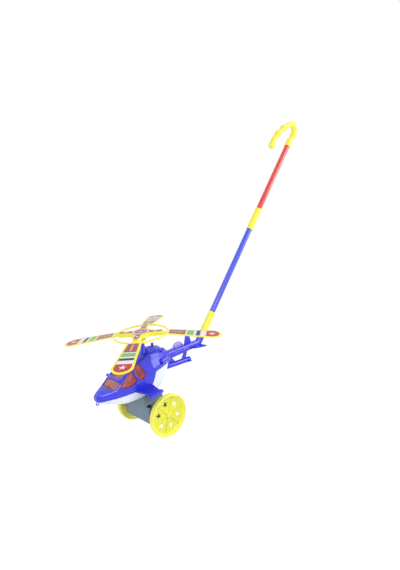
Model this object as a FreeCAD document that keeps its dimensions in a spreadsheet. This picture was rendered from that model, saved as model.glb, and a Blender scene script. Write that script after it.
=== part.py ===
"""Push-along toy helicopter: a blue body on two yellow wheels, pushed by a long stick.

The wheels turn an axle, a crown gear on the axle turns a pinion on the upright mast, and the mast
turns the four-bladed rotor.  Millimetres, +Z up, nose towards -Y, the toy's left side towards +X.
The origin is on the gearbox's flat underside, where the mast's centre line meets it.
"""
import FreeCAD, Part
import math
import os
import re

import Sketcher

V = FreeCAD.Vector
doc = FreeCAD.newDocument("push_helicopter")

# ---------------------------------------------------------------------------------------------
# Driving dimensions
# ---------------------------------------------------------------------------------------------
SIZES = {
    # running gear
    "wheel_radius": 40.0,
    "wheel_width": 10.8,
    "wheel_rim_wall": 3.0,
    "wheel_web": 2.0,
    "wheel_web_depth": 5.4,
    "wheel_rib": 1.4,
    "wheel_hub_radius": 6.0,
    "hub_cap": 4.4,
    "star_circle": 22.7,
    "star_point": 7.3,
    "star_first_angle": 100.0,
    "track_half": 57.4,
    "axle_radius": 2.0,
    "axle_height": 8.0,
    "running_clearance": 0.05,
    # gear train
    "gear_module": 1.0,
    "crown_teeth": 24,
    "pinion_teeth": 8,
    "tooth_share": 0.36,
    "crown_face": 3.6,
    "crown_plate": 2.0,
    # gearbox
    "box_half_width": 37.5,
    "box_front_length": 33.0,
    "box_back_length": 18.0,
    "box_top_front_length": 29.0,
    "box_top_back_length": 12.0,
    "box_neck_half_width": 23.5,
    "box_shoulder": 30.0,
    "box_wall": 2.0,
    "cover_thick": 2.0,
    "bush_radius": 5.0,
    "bush_flange": 1.6,
    "bush_lip": 1.8,
    "bush_length": 8.0,
    "bush_depth": 12.0,
    "bush_wall": 0.9,
    "screw_radius": 1.5,
    "screw_head_radius": 3.2,
    "screw_head_height": 2.2,
    "box_screw_head_radius": 4.2,
    # body
    "seam_height": 68.0,
    "nose_reach": 112.0,
    "body_half_width": 31.0,
    "roof_rise": 55.5,
    "tail_step": 20.0,
    "cone_reach": 54.0,
    "belly_drop": 21.5,
    "shell_wall": 1.6,
    "window_thick": 1.0,
    "fit_gap": 0.1,
    "boom_reach": 139.0,
    "boom_half_width": 8.2,
    "boom_height": 15.8,
    "boom_top": 104.0,
    "wing_span_half": 57.0,
    "wing_thick": 2.6,
    "pod_radius": 3.6,
    "pod_length": 31.0,
    "tower_top": 139.0,
    "tower_radius": 3.2,
    "tower_foot_radius": 12.5,
    "tower_seat": 9.0,
    # mast and rotor
    "mast_radius": 1.6,
    "rotor_height": 159.0,
    "ring_radius": 49.7,
    "ring_width": 3.0,
    "ring_thick": 3.0,
    "blade_tip": 150.0,
    "blade_root_half": 13.4,
    "blade_tip_half": 18.6,
    "blade_thick": 1.8,
    "blade_droop": 7.06,
    "blade_first_angle": -49.8,
    "spider_depth": 8.0,
    "spider_half": 5.4,
    "platform_radius": 20.0,
    "hub_radius": 9.0,
    "hub_rise": 2.6,
    "hub_depth": 14.0,
    "label_thick": 0.2,
    "label_border": 4.1,
    # tail
    "fin_rise": 26.0,
    "fin_thick": 2.2,
    "tailplane_half": 27.0,
    "tailplane_thick": 2.0,
    "crest_radius": 13.0,
    "crest_thick": 1.5,
    "skid_length": 65.0,
    "skid_radius": 5.5,
    # stick
    "stick_angle": 47.4,
    "stick_foot_y": 158.1,
    "stick_foot_z": 115.0,
    "tube_radius": 6.25,
    "tube_wall": 0.95,
    "sleeve_wall": 1.45,
    "plug_depth": 18.0,
    "lower_sleeve": 52.0,
    "lower_tube_show": 213.0,
    "middle_sleeve": 57.0,
    "upper_tube_show": 187.0,
    "handle_socket": 24.0,
    "handle_radius": 6.0,
    "handle_swell": 2.4,
    "nose_eye_radius": 3.1,
    "nose_eye_bar": 1.0,
}

sheet = doc.addObject("Spreadsheet::Sheet", "Sizes")
for row, (name, number) in enumerate(SIZES.items(), start=1):
    sheet.set(f"A{row}", name)
    sheet.set(f"B{row}", str(number))
    sheet.setAlias(f"B{row}", name)
doc.recompute()


class Size:
    """Reads a driving dimension from the sheet by its name."""

    def __getattr__(self, name):
        return float(sheet.get(name))


s = Size()


def bound(text):
    """The same expression with each dimension's name pointing at the sheet."""
    return re.sub(r"\b([a-z]+(?:_[a-z]+)+)\b", r"Sizes.\1", text)


def worth(text):
    """What an expression of driving dimensions comes to now."""
    found = sheet.evalExpression(bound(text))
    return float(getattr(found, "Value", found))


# ---------------------------------------------------------------------------------------------
# Helpers for PartDesign pieces
# ---------------------------------------------------------------------------------------------
parts = []


def new_body(label):
    body = doc.addObject("PartDesign::Body", label)
    body.Label = label
    parts.append(body)
    return body


def new_sketch(body, plane, name, offset="0"):
    """A sketch on one of the body's own origin planes, raised from it by an expression."""
    sketch = body.newObject("Sketcher::SketchObject", name)
    support = next(item for item in body.Origin.OriginFeatures if item.Role == plane)
    sketch.AttachmentSupport = [(support, "")]
    sketch.MapMode = "FlatFace"
    sketch.setExpression("AttachmentOffset.Base.z", bound(offset))
    return sketch


def pin_point(sketch, geometry, vertex, x, y):
    """Ties one point of a sketch to two expressions, measured from the sketch's origin."""
    for kind, text in (("DistanceX", x), ("DistanceY", y)):
        index = sketch.addConstraint(Sketcher.Constraint(kind, -1, 1, geometry, vertex, worth(text)))
        sketch.setExpression(f"Constraints[{index}]", bound(text))


def outline(sketch, corners):
    """A closed straight-sided outline whose corners are pairs of expressions."""
    places = [V(worth(x), worth(y), 0) for x, y in corners]
    first = sketch.GeometryCount
    count = len(places)
    for n in range(count):
        sketch.addGeometry(Part.LineSegment(places[n], places[(n + 1) % count]), False)
    for n in range(count):
        joint = Sketcher.Constraint("Coincident", first + n, 2, first + (n + 1) % count, 1)
        sketch.addConstraint(joint)
    for n, (x, y) in enumerate(corners):
        pin_point(sketch, first + n, 1, x, y)


def ring(sketch, x, y, radius):
    """A circle whose centre and radius are expressions."""
    centre = V(worth(x), worth(y), 0)
    index = sketch.addGeometry(Part.Circle(centre, V(0, 0, 1), worth(radius)), False)
    pin_point(sketch, index, 3, x, y)
    size = sketch.addConstraint(Sketcher.Constraint("Radius", index, worth(radius)))
    sketch.setExpression(f"Constraints[{size}]", bound(radius))


def padded(body, sketch, length, name="Pad", both_ways=False, backwards=False):
    pad = body.newObject("PartDesign::Pad", name)
    pad.Profile = sketch
    pad.setExpression("Length", bound(length))
    if both_ways:
        pad.Midplane = True
    pad.Reversed = backwards
    doc.recompute()
    return pad


def cut_through(body, sketch, name="Pocket"):
    """Cuts a sketch right through the body, both ways from the sketch's plane."""
    before = body.Shape.Volume
    pocket = body.newObject("PartDesign::Pocket", name)
    pocket.Profile = sketch
    pocket.Type = "ThroughAll"
    pocket.Midplane = True
    doc.recompute()
    if body.Shape.Volume >= before:
        raise RuntimeError(f"{body.Label}: {name} cuts nothing")
    return pocket


def turned(label, plane, axis, corners):
    """A body turned on a lathe: a closed profile carried once round a sketch axis."""
    body = new_body(label)
    sketch = new_sketch(body, plane, "Profile")
    outline(sketch, corners)
    solid = body.newObject("PartDesign::Revolution", "Turn")
    solid.Profile = sketch
    solid.ReferenceAxis = (sketch, [axis])
    solid.Angle = 360.0
    doc.recompute()
    return body


def plain(label, shape):
    """A piece whose shape the functions below work out directly."""
    piece = doc.addObject("Part::Feature", label)
    piece.Label = label
    piece.Shape = shape
    parts.append(piece)
    return piece


# ---------------------------------------------------------------------------------------------
# Helpers for shapes
# ---------------------------------------------------------------------------------------------
def prism(points, along):
    """A straight-sided prism: a closed outline of points carried along a vector."""
    wire = Part.makePolygon(points + points[:1])
    return Part.Face(wire).extrude(along)


def ruled(sections):
    """A solid through outlines with the same number of corners, with flat-sided strips between."""
    wires = [Part.makePolygon(points + points[:1]) for points in sections]
    return Part.makeLoft(wires, True, True)


def mirrored(shape):
    """The same shape on the toy's other side."""
    return shape.mirror(V(0, 0, 0), V(1, 0, 0))


def rod(start, end, radius):
    direction = end - start
    return Part.makeCylinder(radius, direction.Length, start, direction)


def capsule(start, end, radius):
    """A rod with round ends whose tips touch start and end."""
    way = (end - start).normalize() * radius
    near, far = start + way, end - way
    shape = rod(near, far, radius)
    return shape.fuse([Part.makeSphere(radius, near), Part.makeSphere(radius, far)]).removeSplitter()


def rounded(shape, radius, pick):
    """The shape with a radius on the edges that pick accepts, or sharp if none is found."""
    edges = [edge for edge in shape.Edges if pick(edge)]
    return shape.makeFillet(radius, edges) if edges else shape


def in_sheet_plane(x, points):
    """Points given as (y, z) at one distance to the side."""
    return [V(x, y, z) for y, z in points]


axle_z = s.axle_height

# ---------------------------------------------------------------------------------------------
# Wheels, axle and gears
# ---------------------------------------------------------------------------------------------
crown_pitch = s.gear_module * s.crown_teeth / 2
pinion_pitch = s.gear_module * s.pinion_teeth / 2
tooth_reach = 0.9 * s.gear_module
tooth_root = 1.2 * s.gear_module
tooth_width = math.pi * s.gear_module * s.tooth_share


def star(centre, point_radius, turn):
    """A five-pointed star outline in a plane across the axle."""
    notch_radius = point_radius * 0.39
    points = []
    for n in range(10):
        radius = notch_radius if n % 2 else point_radius
        angle = turn + n * math.pi / 5
        points.append(centre + V(0, radius * math.cos(angle), radius * math.sin(angle)))
    return points


def wheel(label, side):
    """A dished wheel: rim band, thin web with six stars and six ribs, and a blind hub."""
    outer = s.track_half
    inner = outer - s.wheel_width
    web_out = outer - s.wheel_web_depth
    web_in = web_out - s.wheel_web
    rim_in = s.wheel_radius - s.wheel_rim_wall
    hub_out = outer - 2.0
    hub_in = inner - 3.0
    profile = [
        V(hub_in, s.axle_radius, 0),
        V(hub_in, s.wheel_hub_radius, 0),
        V(web_in, s.wheel_hub_radius, 0),
        V(web_in, rim_in - 1.0, 0),
        V(inner, rim_in + 0.6, 0),
        V(inner, s.wheel_radius - 1.2, 0),
        V(inner + 1.2, s.wheel_radius, 0),
        V(outer - 1.6, s.wheel_radius, 0),
        V(outer, s.wheel_radius - 1.6, 0),
        V(outer, rim_in + 0.4, 0),
        V(web_out, rim_in - 1.2, 0),
        V(web_out, s.wheel_hub_radius - 1.0, 0),
        V(hub_out, s.wheel_hub_radius - 2.0, 0),
        V(hub_out, 0, 0),
        V(outer - s.hub_cap, 0, 0),
        V(outer - s.hub_cap, s.axle_radius, 0),
    ]
    face = Part.Face(Part.makePolygon(profile + profile[:1]))
    shape = face.revolve(V(0, 0, 0), V(1, 0, 0), 360)
    ribs = []
    holes = []
    for n in range(6):
        rib_angle = math.radians(s.star_first_angle + 30 - 60 * n)
        start = s.wheel_hub_radius - 2.2
        long = rim_in - start - 0.3
        rib = Part.makeBox(2.6, long, s.wheel_rib, V(web_out - 0.6, start, -s.wheel_rib / 2))
        rib.rotate(V(0, 0, 0), V(1, 0, 0), math.degrees(rib_angle))
        ribs.append(rib)
        star_angle = math.radians(s.star_first_angle - 60 * n)
        centre = V(web_in - 1, s.star_circle * math.cos(star_angle), s.star_circle * math.sin(star_angle))
        holes.append(prism(star(centre, s.star_point, star_angle), V(s.wheel_web + 2, 0, 0)))
    shape = shape.fuse(ribs).cut(holes).removeSplitter()
    if side < 0:
        shape = mirrored(shape)
    shape.translate(V(0, 0, axle_z))
    return plain(label, shape)


wheel("wheel_left", 1)
wheel("wheel_right", -1)

axle = new_body("axle")
axle_sketch = new_sketch(axle, "YZ_Plane", "Section")
ring(axle_sketch, "0", "axle_height", "axle_radius")
padded(axle, axle_sketch, "2 * (track_half - hub_cap - fit_gap)", both_ways=True)


def crown_gear():
    """A face gear on the axle: a plate with teeth that point inwards, towards the mast."""
    tip = crown_pitch + s.crown_face / 2
    root = crown_pitch - s.crown_face / 2
    plate_x = pinion_pitch + tooth_root - 0.1
    shape = Part.makeCylinder(tip, s.crown_plate, V(plate_x, 0, 0), V(1, 0, 0))
    shape = shape.fuse(Part.makeCylinder(4.0, 8.0, V(plate_x, 0, 0), V(1, 0, 0)))
    shape = shape.cut(Part.makeCylinder(s.axle_radius, 20, V(plate_x - 1, 0, 0), V(1, 0, 0)))
    reach = plate_x + 0.2 - (pinion_pitch - tooth_reach)
    for n in range(int(s.crown_teeth)):
        corner = V(pinion_pitch - tooth_reach, -tooth_width / 2, root)
        tooth = Part.makeBox(reach, tooth_width, s.crown_face * 0.94, corner)
        tooth.rotate(V(0, 0, 0), V(1, 0, 0), 360.0 * n / s.crown_teeth)
        shape = shape.fuse(tooth)
    shape = shape.removeSplitter()
    shape.translate(V(0, 0, axle_z))
    return plain("crown_gear", shape)


crown_gear()


def mast_pinion():
    """A small spur gear on the mast, in mesh with the top of the crown gear."""
    low = axle_z + crown_pitch - s.crown_face / 2 + 0.2
    high = s.crown_face + 1.4
    core = pinion_pitch - tooth_root
    shape = Part.makeCylinder(core, high, V(0, 0, low))
    tip = pinion_pitch + tooth_reach
    base_half = tooth_width * 0.62
    tip_half = tooth_width * 0.30
    for n in range(int(s.pinion_teeth)):
        points = [
            V(core - 0.4, -base_half, low),
            V(tip, -tip_half, low),
            V(tip, tip_half, low),
            V(core - 0.4, base_half, low),
        ]
        tooth = prism(points, V(0, 0, high))
        tooth.rotate(V(0, 0, 0), V(0, 0, 1), (n + 0.5) * 360.0 / s.pinion_teeth)
        shape = shape.fuse(tooth)
    shape = shape.fuse(Part.makeCylinder(pinion_pitch, 4.0, V(0, 0, low + high)))
    shape = shape.cut(Part.makeCylinder(s.mast_radius, 30, V(0, 0, low - 1))).removeSplitter()
    return plain("mast_pinion", shape)


mast_pinion()

# ---------------------------------------------------------------------------------------------
# Gearbox
# ---------------------------------------------------------------------------------------------
box_height = s.seam_height - s.belly_drop
screw_x = s.box_half_width - 5.2
box_screw_places = [
    (side * screw_x, y)
    for side in (-1, 1)
    for y in (7.5 - s.box_front_length, s.box_back_length - 6.0)
]
shoulder_z = s.box_shoulder
# Four screws inside the gearbox hold its roof to bosses on the belly's floor.
hold_front = (9.5, -0.72 * s.box_top_front_length)
hold_rear = (14.0, 0.45 * s.box_top_back_length)
hold_places = [(side * x, y) for x, y in (hold_front, hold_rear) for side in (-1, 1)]
hold_length = 10.0


def box_outline(y, inset, low, high):
    """The gearbox seen from the front: wide below, curving in over the shoulders to a neck."""
    wide = s.box_half_width - inset
    neck = s.box_neck_half_width - inset
    shoulder = shoulder_z - inset
    bend = min(9.0, high - shoulder - 1.0)
    middle = bend * (1 - math.sqrt(0.5))
    left = [
        Part.LineSegment(V(wide, y, low), V(wide, y, shoulder - 3.0)),
        Part.LineSegment(V(wide, y, shoulder - 3.0), V(wide - 2.5, y, shoulder)),
        Part.LineSegment(V(wide - 2.5, y, shoulder), V(neck + bend, y, shoulder)),
        Part.Arc(V(neck + bend, y, shoulder), V(neck + middle, y, shoulder + middle),
                 V(neck, y, shoulder + bend)),
        Part.LineSegment(V(neck, y, shoulder + bend), V(neck, y, high)),
    ]
    edges = [curve.toShape() for curve in left]
    flipped = [mirrored(edge) for edge in edges]
    floor = Part.LineSegment(V(-wide, y, low), V(wide, y, low)).toShape()
    roof = Part.LineSegment(V(-neck, y, high), V(neck, y, high)).toShape()
    return Part.Wire(Part.__sortEdges__(edges + flipped + [floor, roof]))


def box_solid(inset, low, high):
    """The outline carried from the front to the back and trimmed to its sloping ends."""
    far = s.box_front_length + 1
    block = Part.Face(box_outline(-far, inset, low, high)).extrude(V(0, 2 * far, 0))
    wide = s.box_half_width + 5
    beyond = 5.0
    stretched = []
    for side, foot, head, ways in (
        (-1, s.box_front_length, s.box_top_front_length, (-1, 1)),
        (1, s.box_back_length, s.box_top_back_length, (1, -1)),
    ):
        lean = (foot - head) / (box_height - s.cover_thick)
        for way in ways:
            y, z = (head, box_height) if way > 0 else (foot, s.cover_thick)
            stretched.append((side * (y - inset - way * lean * beyond), z + way * beyond))
    return block.common(prism(in_sheet_plane(-wide, stretched), V(2 * wide, 0, 0)))


def gearbox_housing():
    """The grey housing: open below, with bush seats in its sides and a mast hole in its top."""
    outer = box_solid(0, s.cover_thick, box_height)
    inner = box_solid(s.box_wall, s.cover_thick - 4, box_height - s.box_wall)
    shape = outer.cut(inner)
    posts = [rod(V(x, y, s.cover_thick), V(x, y, shoulder_z - 0.5), 3.0) for x, y in box_screw_places]
    shape = shape.fuse([post.common(outer) for post in posts])
    wide = s.box_half_width + 1
    seat = s.bush_radius + s.fit_gap
    shape = shape.cut(rod(V(-wide, 0, axle_z), V(wide, 0, axle_z), seat))
    shape = shape.cut(rod(V(0, 0, 0), V(0, 0, box_height + 1), s.bush_radius + s.fit_gap))
    spot_top = shoulder_z + s.screw_head_height
    spot_radius = s.box_screw_head_radius + s.fit_gap
    for x, y in box_screw_places:
        shape = shape.cut(rod(V(x, y, -1), V(x, y, shoulder_z + 1), s.screw_radius + s.fit_gap))
        shape = shape.cut(rod(V(x, y, shoulder_z), V(x, y, spot_top), spot_radius))
    for x, y in hold_places:
        shape = shape.cut(rod(V(x, y, shoulder_z), V(x, y, box_height + 1), s.screw_radius + s.fit_gap))
    return plain("gearbox_housing", shape.removeSplitter())


gearbox_housing()


def gearbox_cover():
    """The flat bottom plate, with a slot for the crown gear and a post under each side bush."""
    half_x = s.box_half_width
    front, back = s.box_front_length, s.box_back_length
    plate = Part.makeBox(2 * half_x, front + back, s.cover_thick, V(-half_x, -front, 0))
    reach = crown_pitch + s.crown_face / 2 + 1.5
    gear_x = pinion_pitch - tooth_reach - 1.0
    slot = Part.makeBox(s.crown_plate + tooth_root + tooth_reach + 2.6, 2 * reach, s.cover_thick + 2,
                        V(gear_x, -reach, -1))
    shape = rounded(plate, 2.0, lambda e: abs(e.BoundBox.ZLength - s.cover_thick) < 0.01).cut(slot)
    for x, y in box_screw_places:
        shape = shape.cut(rod(V(x, y, -1), V(x, y, s.cover_thick + 1), s.screw_radius + s.fit_gap))
        shape = shape.cut(rod(V(x, y, -1), V(x, y, 0.9), s.screw_head_radius + 0.2))
    return plain("gearbox_cover", shape)


gearbox_cover()


def axle_bush(label, side):
    """A black flanged bush: the flange stands outside the wall and the barrel fills the seat."""
    wall = f"{side} * box_half_width"
    face = f"{side} * (box_half_width + bush_flange)"
    inner = f"{side} * (box_half_width - bush_length)"
    body = turned(label, "XZ_Plane", "H_Axis", [
        (inner, "axle_radius + running_clearance"),
        (face, "axle_radius + running_clearance"),
        (face, "bush_radius + bush_lip"),
        (wall, "bush_radius + bush_lip"),
        (wall, "bush_radius"),
        (inner, "bush_radius"),
    ])
    body.setExpression("Placement.Base.z", "Sizes.axle_height")
    return body


axle_bush("axle_bush_left", 1)
axle_bush("axle_bush_right", -1)


def screw(place, way, length, head_radius):
    """A pan-head screw: the head stands behind place and the thread's core runs ahead of it."""
    head = rod(place - way * s.screw_head_height, place, head_radius)
    crown = place - way * s.screw_head_height
    head = rounded(head, 1.2, lambda e: abs((e.BoundBox.Center - crown).dot(way)) < 0.01 and e.Length > 10)
    drive = head_radius * 0.55
    across = Part.makeBox(2 * drive, 0.8, 1.0, V(-drive, -0.4, -0.1))
    slots = across.fuse(Part.makeBox(0.8, 2 * drive, 1.0, V(-0.4, -drive, -0.1)))
    slots.Placement = FreeCAD.Placement(crown, FreeCAD.Rotation(V(0, 0, 1), way))
    return head.fuse(rod(place, place + way * length, s.screw_radius)).cut(slots)


gearbox_screws = [
    screw(V(x, y, shoulder_z), V(0, 0, -1), shoulder_z - 1.0, s.box_screw_head_radius)
    for x, y in box_screw_places
]
plain("gearbox_screws", Part.makeCompound(gearbox_screws))

# ---------------------------------------------------------------------------------------------
# Body shells
# ---------------------------------------------------------------------------------------------
# Each station is (place along the nose, from 0 at the mast to 1 at the tip; half width at the seam;
# half width and height of the belt line; half width and height of the roof edge; height of the
# roof's ridge).  Widths are shares of the body's half width, heights are shares of the roof's rise.
CABIN = [
    (1.000, 0.19, 0.22, 0.11, 0.14, 0.190, 0.200),
    (0.930, 0.40, 0.43, 0.13, 0.31, 0.230, 0.240),
    (0.737, 0.72, 0.79, 0.24, 0.69, 0.290, 0.300),
    (0.625, 0.84, 0.90, 0.325, 0.69, 0.490, 0.505),
    (0.571, 0.89, 0.935, 0.33, 0.68, 0.580, 0.600),
    (0.430, 0.97, 0.98, 0.335, 0.675, 0.700, 0.740),
    (0.214, 1.00, 1.00, 0.40, 0.645, 0.845, 0.885),
    (-0.020, 0.97, 0.96, 0.44, 0.59, 0.945, 0.990),
]
# The cowl behind the mast, from 0 at the mast to 1 where the tail boom starts.
COWL = [
    (-0.05, 0.950, 0.930, 0.47, 0.585, 0.945, 0.990),
    (0.37, 0.775, 0.790, 0.50, 0.500, 0.885, 0.985),
    (0.65, 0.580, 0.600, 0.50, 0.405, 0.785, 0.905),
    (0.85, 0.420, 0.450, 0.49, 0.290, 0.690, 0.770),
    (1.00, 0.310, 0.340, 0.50, 0.240, 0.640, 0.700),
]
# The belly's stations are (place; half width at the seam; half width and depth of the upper chine;
# half width and depth of the lower one), depths as shares of the belly's drop.
BELLY = [
    (0.990, 0.190, 0.150, 0.09, 0.090, 0.15),
    (0.850, 0.535, 0.460, 0.28, 0.290, 0.46),
    (0.715, 0.730, 0.640, 0.43, 0.450, 0.70),
    (0.580, 0.880, 0.790, 0.54, 0.630, 0.88),
    (0.400, 0.970, 0.870, 0.60, 0.670, 0.97),
    (0.060, 1.000, 0.885, 0.62, 0.670, 1.00),
    (-0.020, 0.970, 0.870, 0.61, 0.660, 1.00),
]
# The belly behind the mast, up to the tail boom's root.
BELLY_TAIL = [
    (-0.16, 0.950, 0.870, 0.61, 0.660, 1.00),
    (0.00, 0.945, 0.868, 0.61, 0.658, 1.00),
    (0.33, 0.795, 0.710, 0.40, 0.530, 0.78),
    (0.60, 0.612, 0.530, 0.02, 0.400, 0.36),
    (0.76, 0.490, 0.420, -0.42, 0.310, -0.18),
    (0.87, 0.402, 0.350, -0.83, 0.260, -0.68),
]
rake = 8.6


def hull_corners(y, floor, station, inset, deep):
    """One cross-section of the upper body, inset all round, its floor lowered by deep."""
    seam_w, belt_w, belt_h, roof_w, roof_h, ridge_h = station
    half = s.body_half_width
    low = floor - deep
    seam_x = max(seam_w * half - inset, 0.6)
    belt_x = max(belt_w * half - inset, 0.8)
    roof_x = max(roof_w * half - inset * 0.8, 0.5)
    belt_z = s.seam_height + belt_h * s.roof_rise - inset * 0.3
    roof_z = s.seam_height + roof_h * s.roof_rise - inset
    ridge_z = s.seam_height + ridge_h * s.roof_rise - inset
    left = [V(seam_x, y, low), V(belt_x, y, belt_z), V(roof_x, y, roof_z)]
    right = [V(-p.x, p.y, p.z) for p in reversed(left)]
    return left + [V(0, y, ridge_z)] + right


def upper_solid(inset, deep):
    """The upper body as a solid: cabin in front of the mast and cowl behind it."""
    cabin = []
    for place, *station in CABIN:
        y = -place * s.nose_reach
        if place == 1.0:
            y += inset
        cabin.append(hull_corners(y, s.seam_height, station, inset, deep))
    cowl = []
    floor = s.seam_height + s.tail_step
    for place, *station in COWL:
        y = place * s.cone_reach
        if place == 1.0:
            y -= inset
        cowl.append(hull_corners(y, floor, station, inset, deep))
    front = ruled(cabin)
    seam_y = -rake
    step = [
        (seam_y, s.seam_height - deep - 1),
        (60, s.seam_height - deep - 1),
        (60, floor - deep),
        (seam_y + rake * 1.25, floor - deep),
        (seam_y, s.seam_height - deep),
    ]
    front = front.cut(prism(in_sheet_plane(-60, step), V(120, 0, 0)))
    return front.fuse(ruled(cowl)).removeSplitter()


def belly_corners(y, top, station, inset):
    """One cross-section of the belly, open upwards when inset."""
    seam_w, upper_w, upper_d, lower_w, lower_d = station
    half = s.body_half_width
    seam_x = max(seam_w * half - inset, 0.6)
    upper = V(max(upper_w * half - inset, 0.5), y, s.seam_height - upper_d * s.belly_drop + inset * 0.3)
    lower = V(max(lower_w * half - inset, 0.4), y, s.seam_height - lower_d * s.belly_drop + inset)
    left = [V(seam_x, y, top), upper, lower]
    return left + [V(-p.x, p.y, p.z) for p in reversed(left)]


def belly_solid(inset, lift):
    """The belly as a solid: a hull below the seam, stepping up behind the mast."""
    hull = []
    for place, *station in BELLY:
        y = -place * s.nose_reach + (inset if place > 0.98 else 0)
        hull.append(belly_corners(y, s.seam_height + lift, station, inset))
    tail = []
    for place, *station in BELLY_TAIL:
        y = place * s.cone_reach - (inset if place > 0.86 else 0)
        tail.append(belly_corners(y, s.seam_height + s.tail_step + lift, station, inset))
    return ruled(hull).fuse(ruled(tail)).removeSplitter()


upper_outer = upper_solid(0, 0)
upper_inner = upper_solid(s.shell_wall, 6.0)
belly_outer = belly_solid(0, 0).cut(upper_outer)
belly_inner = belly_solid(s.shell_wall, 6.0)

# Windows, each corner a share of the nose's reach and of the roof's rise.
FRONT_WINDOW = [(0.700, 0.312), (0.410, 0.705), (0.366, 0.350), (0.480, 0.228)]
REAR_WINDOW = [(0.366, 0.738), (0.252, 0.822), (0.180, 0.455), (0.255, 0.305), (0.330, 0.335)]


def side_prism(corners, wide=60.0):
    points = [(-place * s.nose_reach, s.seam_height + height * s.roof_rise) for place, height in corners]
    return prism(in_sheet_plane(-wide, points), V(2 * wide, 0, 0))


def roof_prism(front, back, half_front, half_back):
    """An upright prism over the roof between two places along the nose."""
    low = s.seam_height + 0.12 * s.roof_rise
    points = [
        V(-half_front * s.body_half_width, -front * s.nose_reach, low),
        V(half_front * s.body_half_width, -front * s.nose_reach, low),
        V(half_back * s.body_half_width, -back * s.nose_reach, low),
        V(-half_back * s.body_half_width, -back * s.nose_reach, low),
    ]
    return prism(points, V(0, 0, 1.5 * s.roof_rise))


windows = [
    side_prism(FRONT_WINDOW),
    side_prism(REAR_WINDOW),
    roof_prism(0.762, 0.650, 0.640, 0.675),
    roof_prism(0.600, 0.415, 0.600, 0.540),
]
front_post = (9.0, -0.82 * s.nose_reach)
rear_post = (15.0, -0.11 * s.nose_reach)
post_places = [(side * x, y) for x, y in (front_post, rear_post) for side in (-1, 1)]
post_radius = s.screw_radius + 1.7


def wing(side):
    """A swept stub wing with a round-ended pod along its tip."""
    half = s.body_half_width
    tip = s.wing_span_half
    root_z = s.seam_height + 0.3
    tip_z = s.seam_height - 3.6
    root = [(-0.446, root_z), (-0.096, root_z)]
    outer = [(-0.345, tip_z), (-0.130, tip_z)]
    sections = []
    for x, edges, thick in ((half - 2.0, root, s.wing_thick), (tip, outer, s.wing_thick * 0.8)):
        (front, low), (back, _) = edges
        y_front, y_back = front * s.nose_reach, back * s.nose_reach
        sections.append([V(x, y_front, low), V(x, y_back, low), V(x, y_back, low + thick),
                         V(x, y_front + thick, low + thick)])
    plate = ruled(sections)
    y_mid = -0.21 * s.nose_reach
    reach = s.pod_length / 2
    pod = capsule(V(tip, y_mid - reach, tip_z - 4.6 + 1.0), V(tip, y_mid + reach, tip_z - 1.0), s.pod_radius)
    both = plate.fuse(pod)
    return both if side > 0 else mirrored(both)


def tower():
    """The mast's fairing: a hollow-sided cone rising from the roof."""
    top = s.tower_top
    roof = s.seam_height + 0.80 * s.roof_rise
    bend = V(s.tower_radius + 2.6, 0, top - 12.5)
    foot = V(s.tower_foot_radius, 0, s.seam_height + 0.90 * s.roof_rise)
    side = Part.Arc(V(s.tower_radius, 0, top), bend, foot).toShape()
    straight = Part.makePolygon([foot, V(s.tower_foot_radius, 0, roof), V(0, 0, roof), V(0, 0, top),
                                 V(s.tower_radius, 0, top)])
    wire = Part.Wire(Part.__sortEdges__([side] + straight.Edges))
    return Part.Face(wire).revolve(V(0, 0, 0), V(0, 0, 1), 360)


def raised(rise, low, high):
    """The part of the upper body's skin, swelled by rise, that lies in a box."""
    block = Part.makeBox(high.x - low.x, high.y - low.y, high.z - low.z, low)
    return upper_solid(-rise, 0).common(block)


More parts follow.
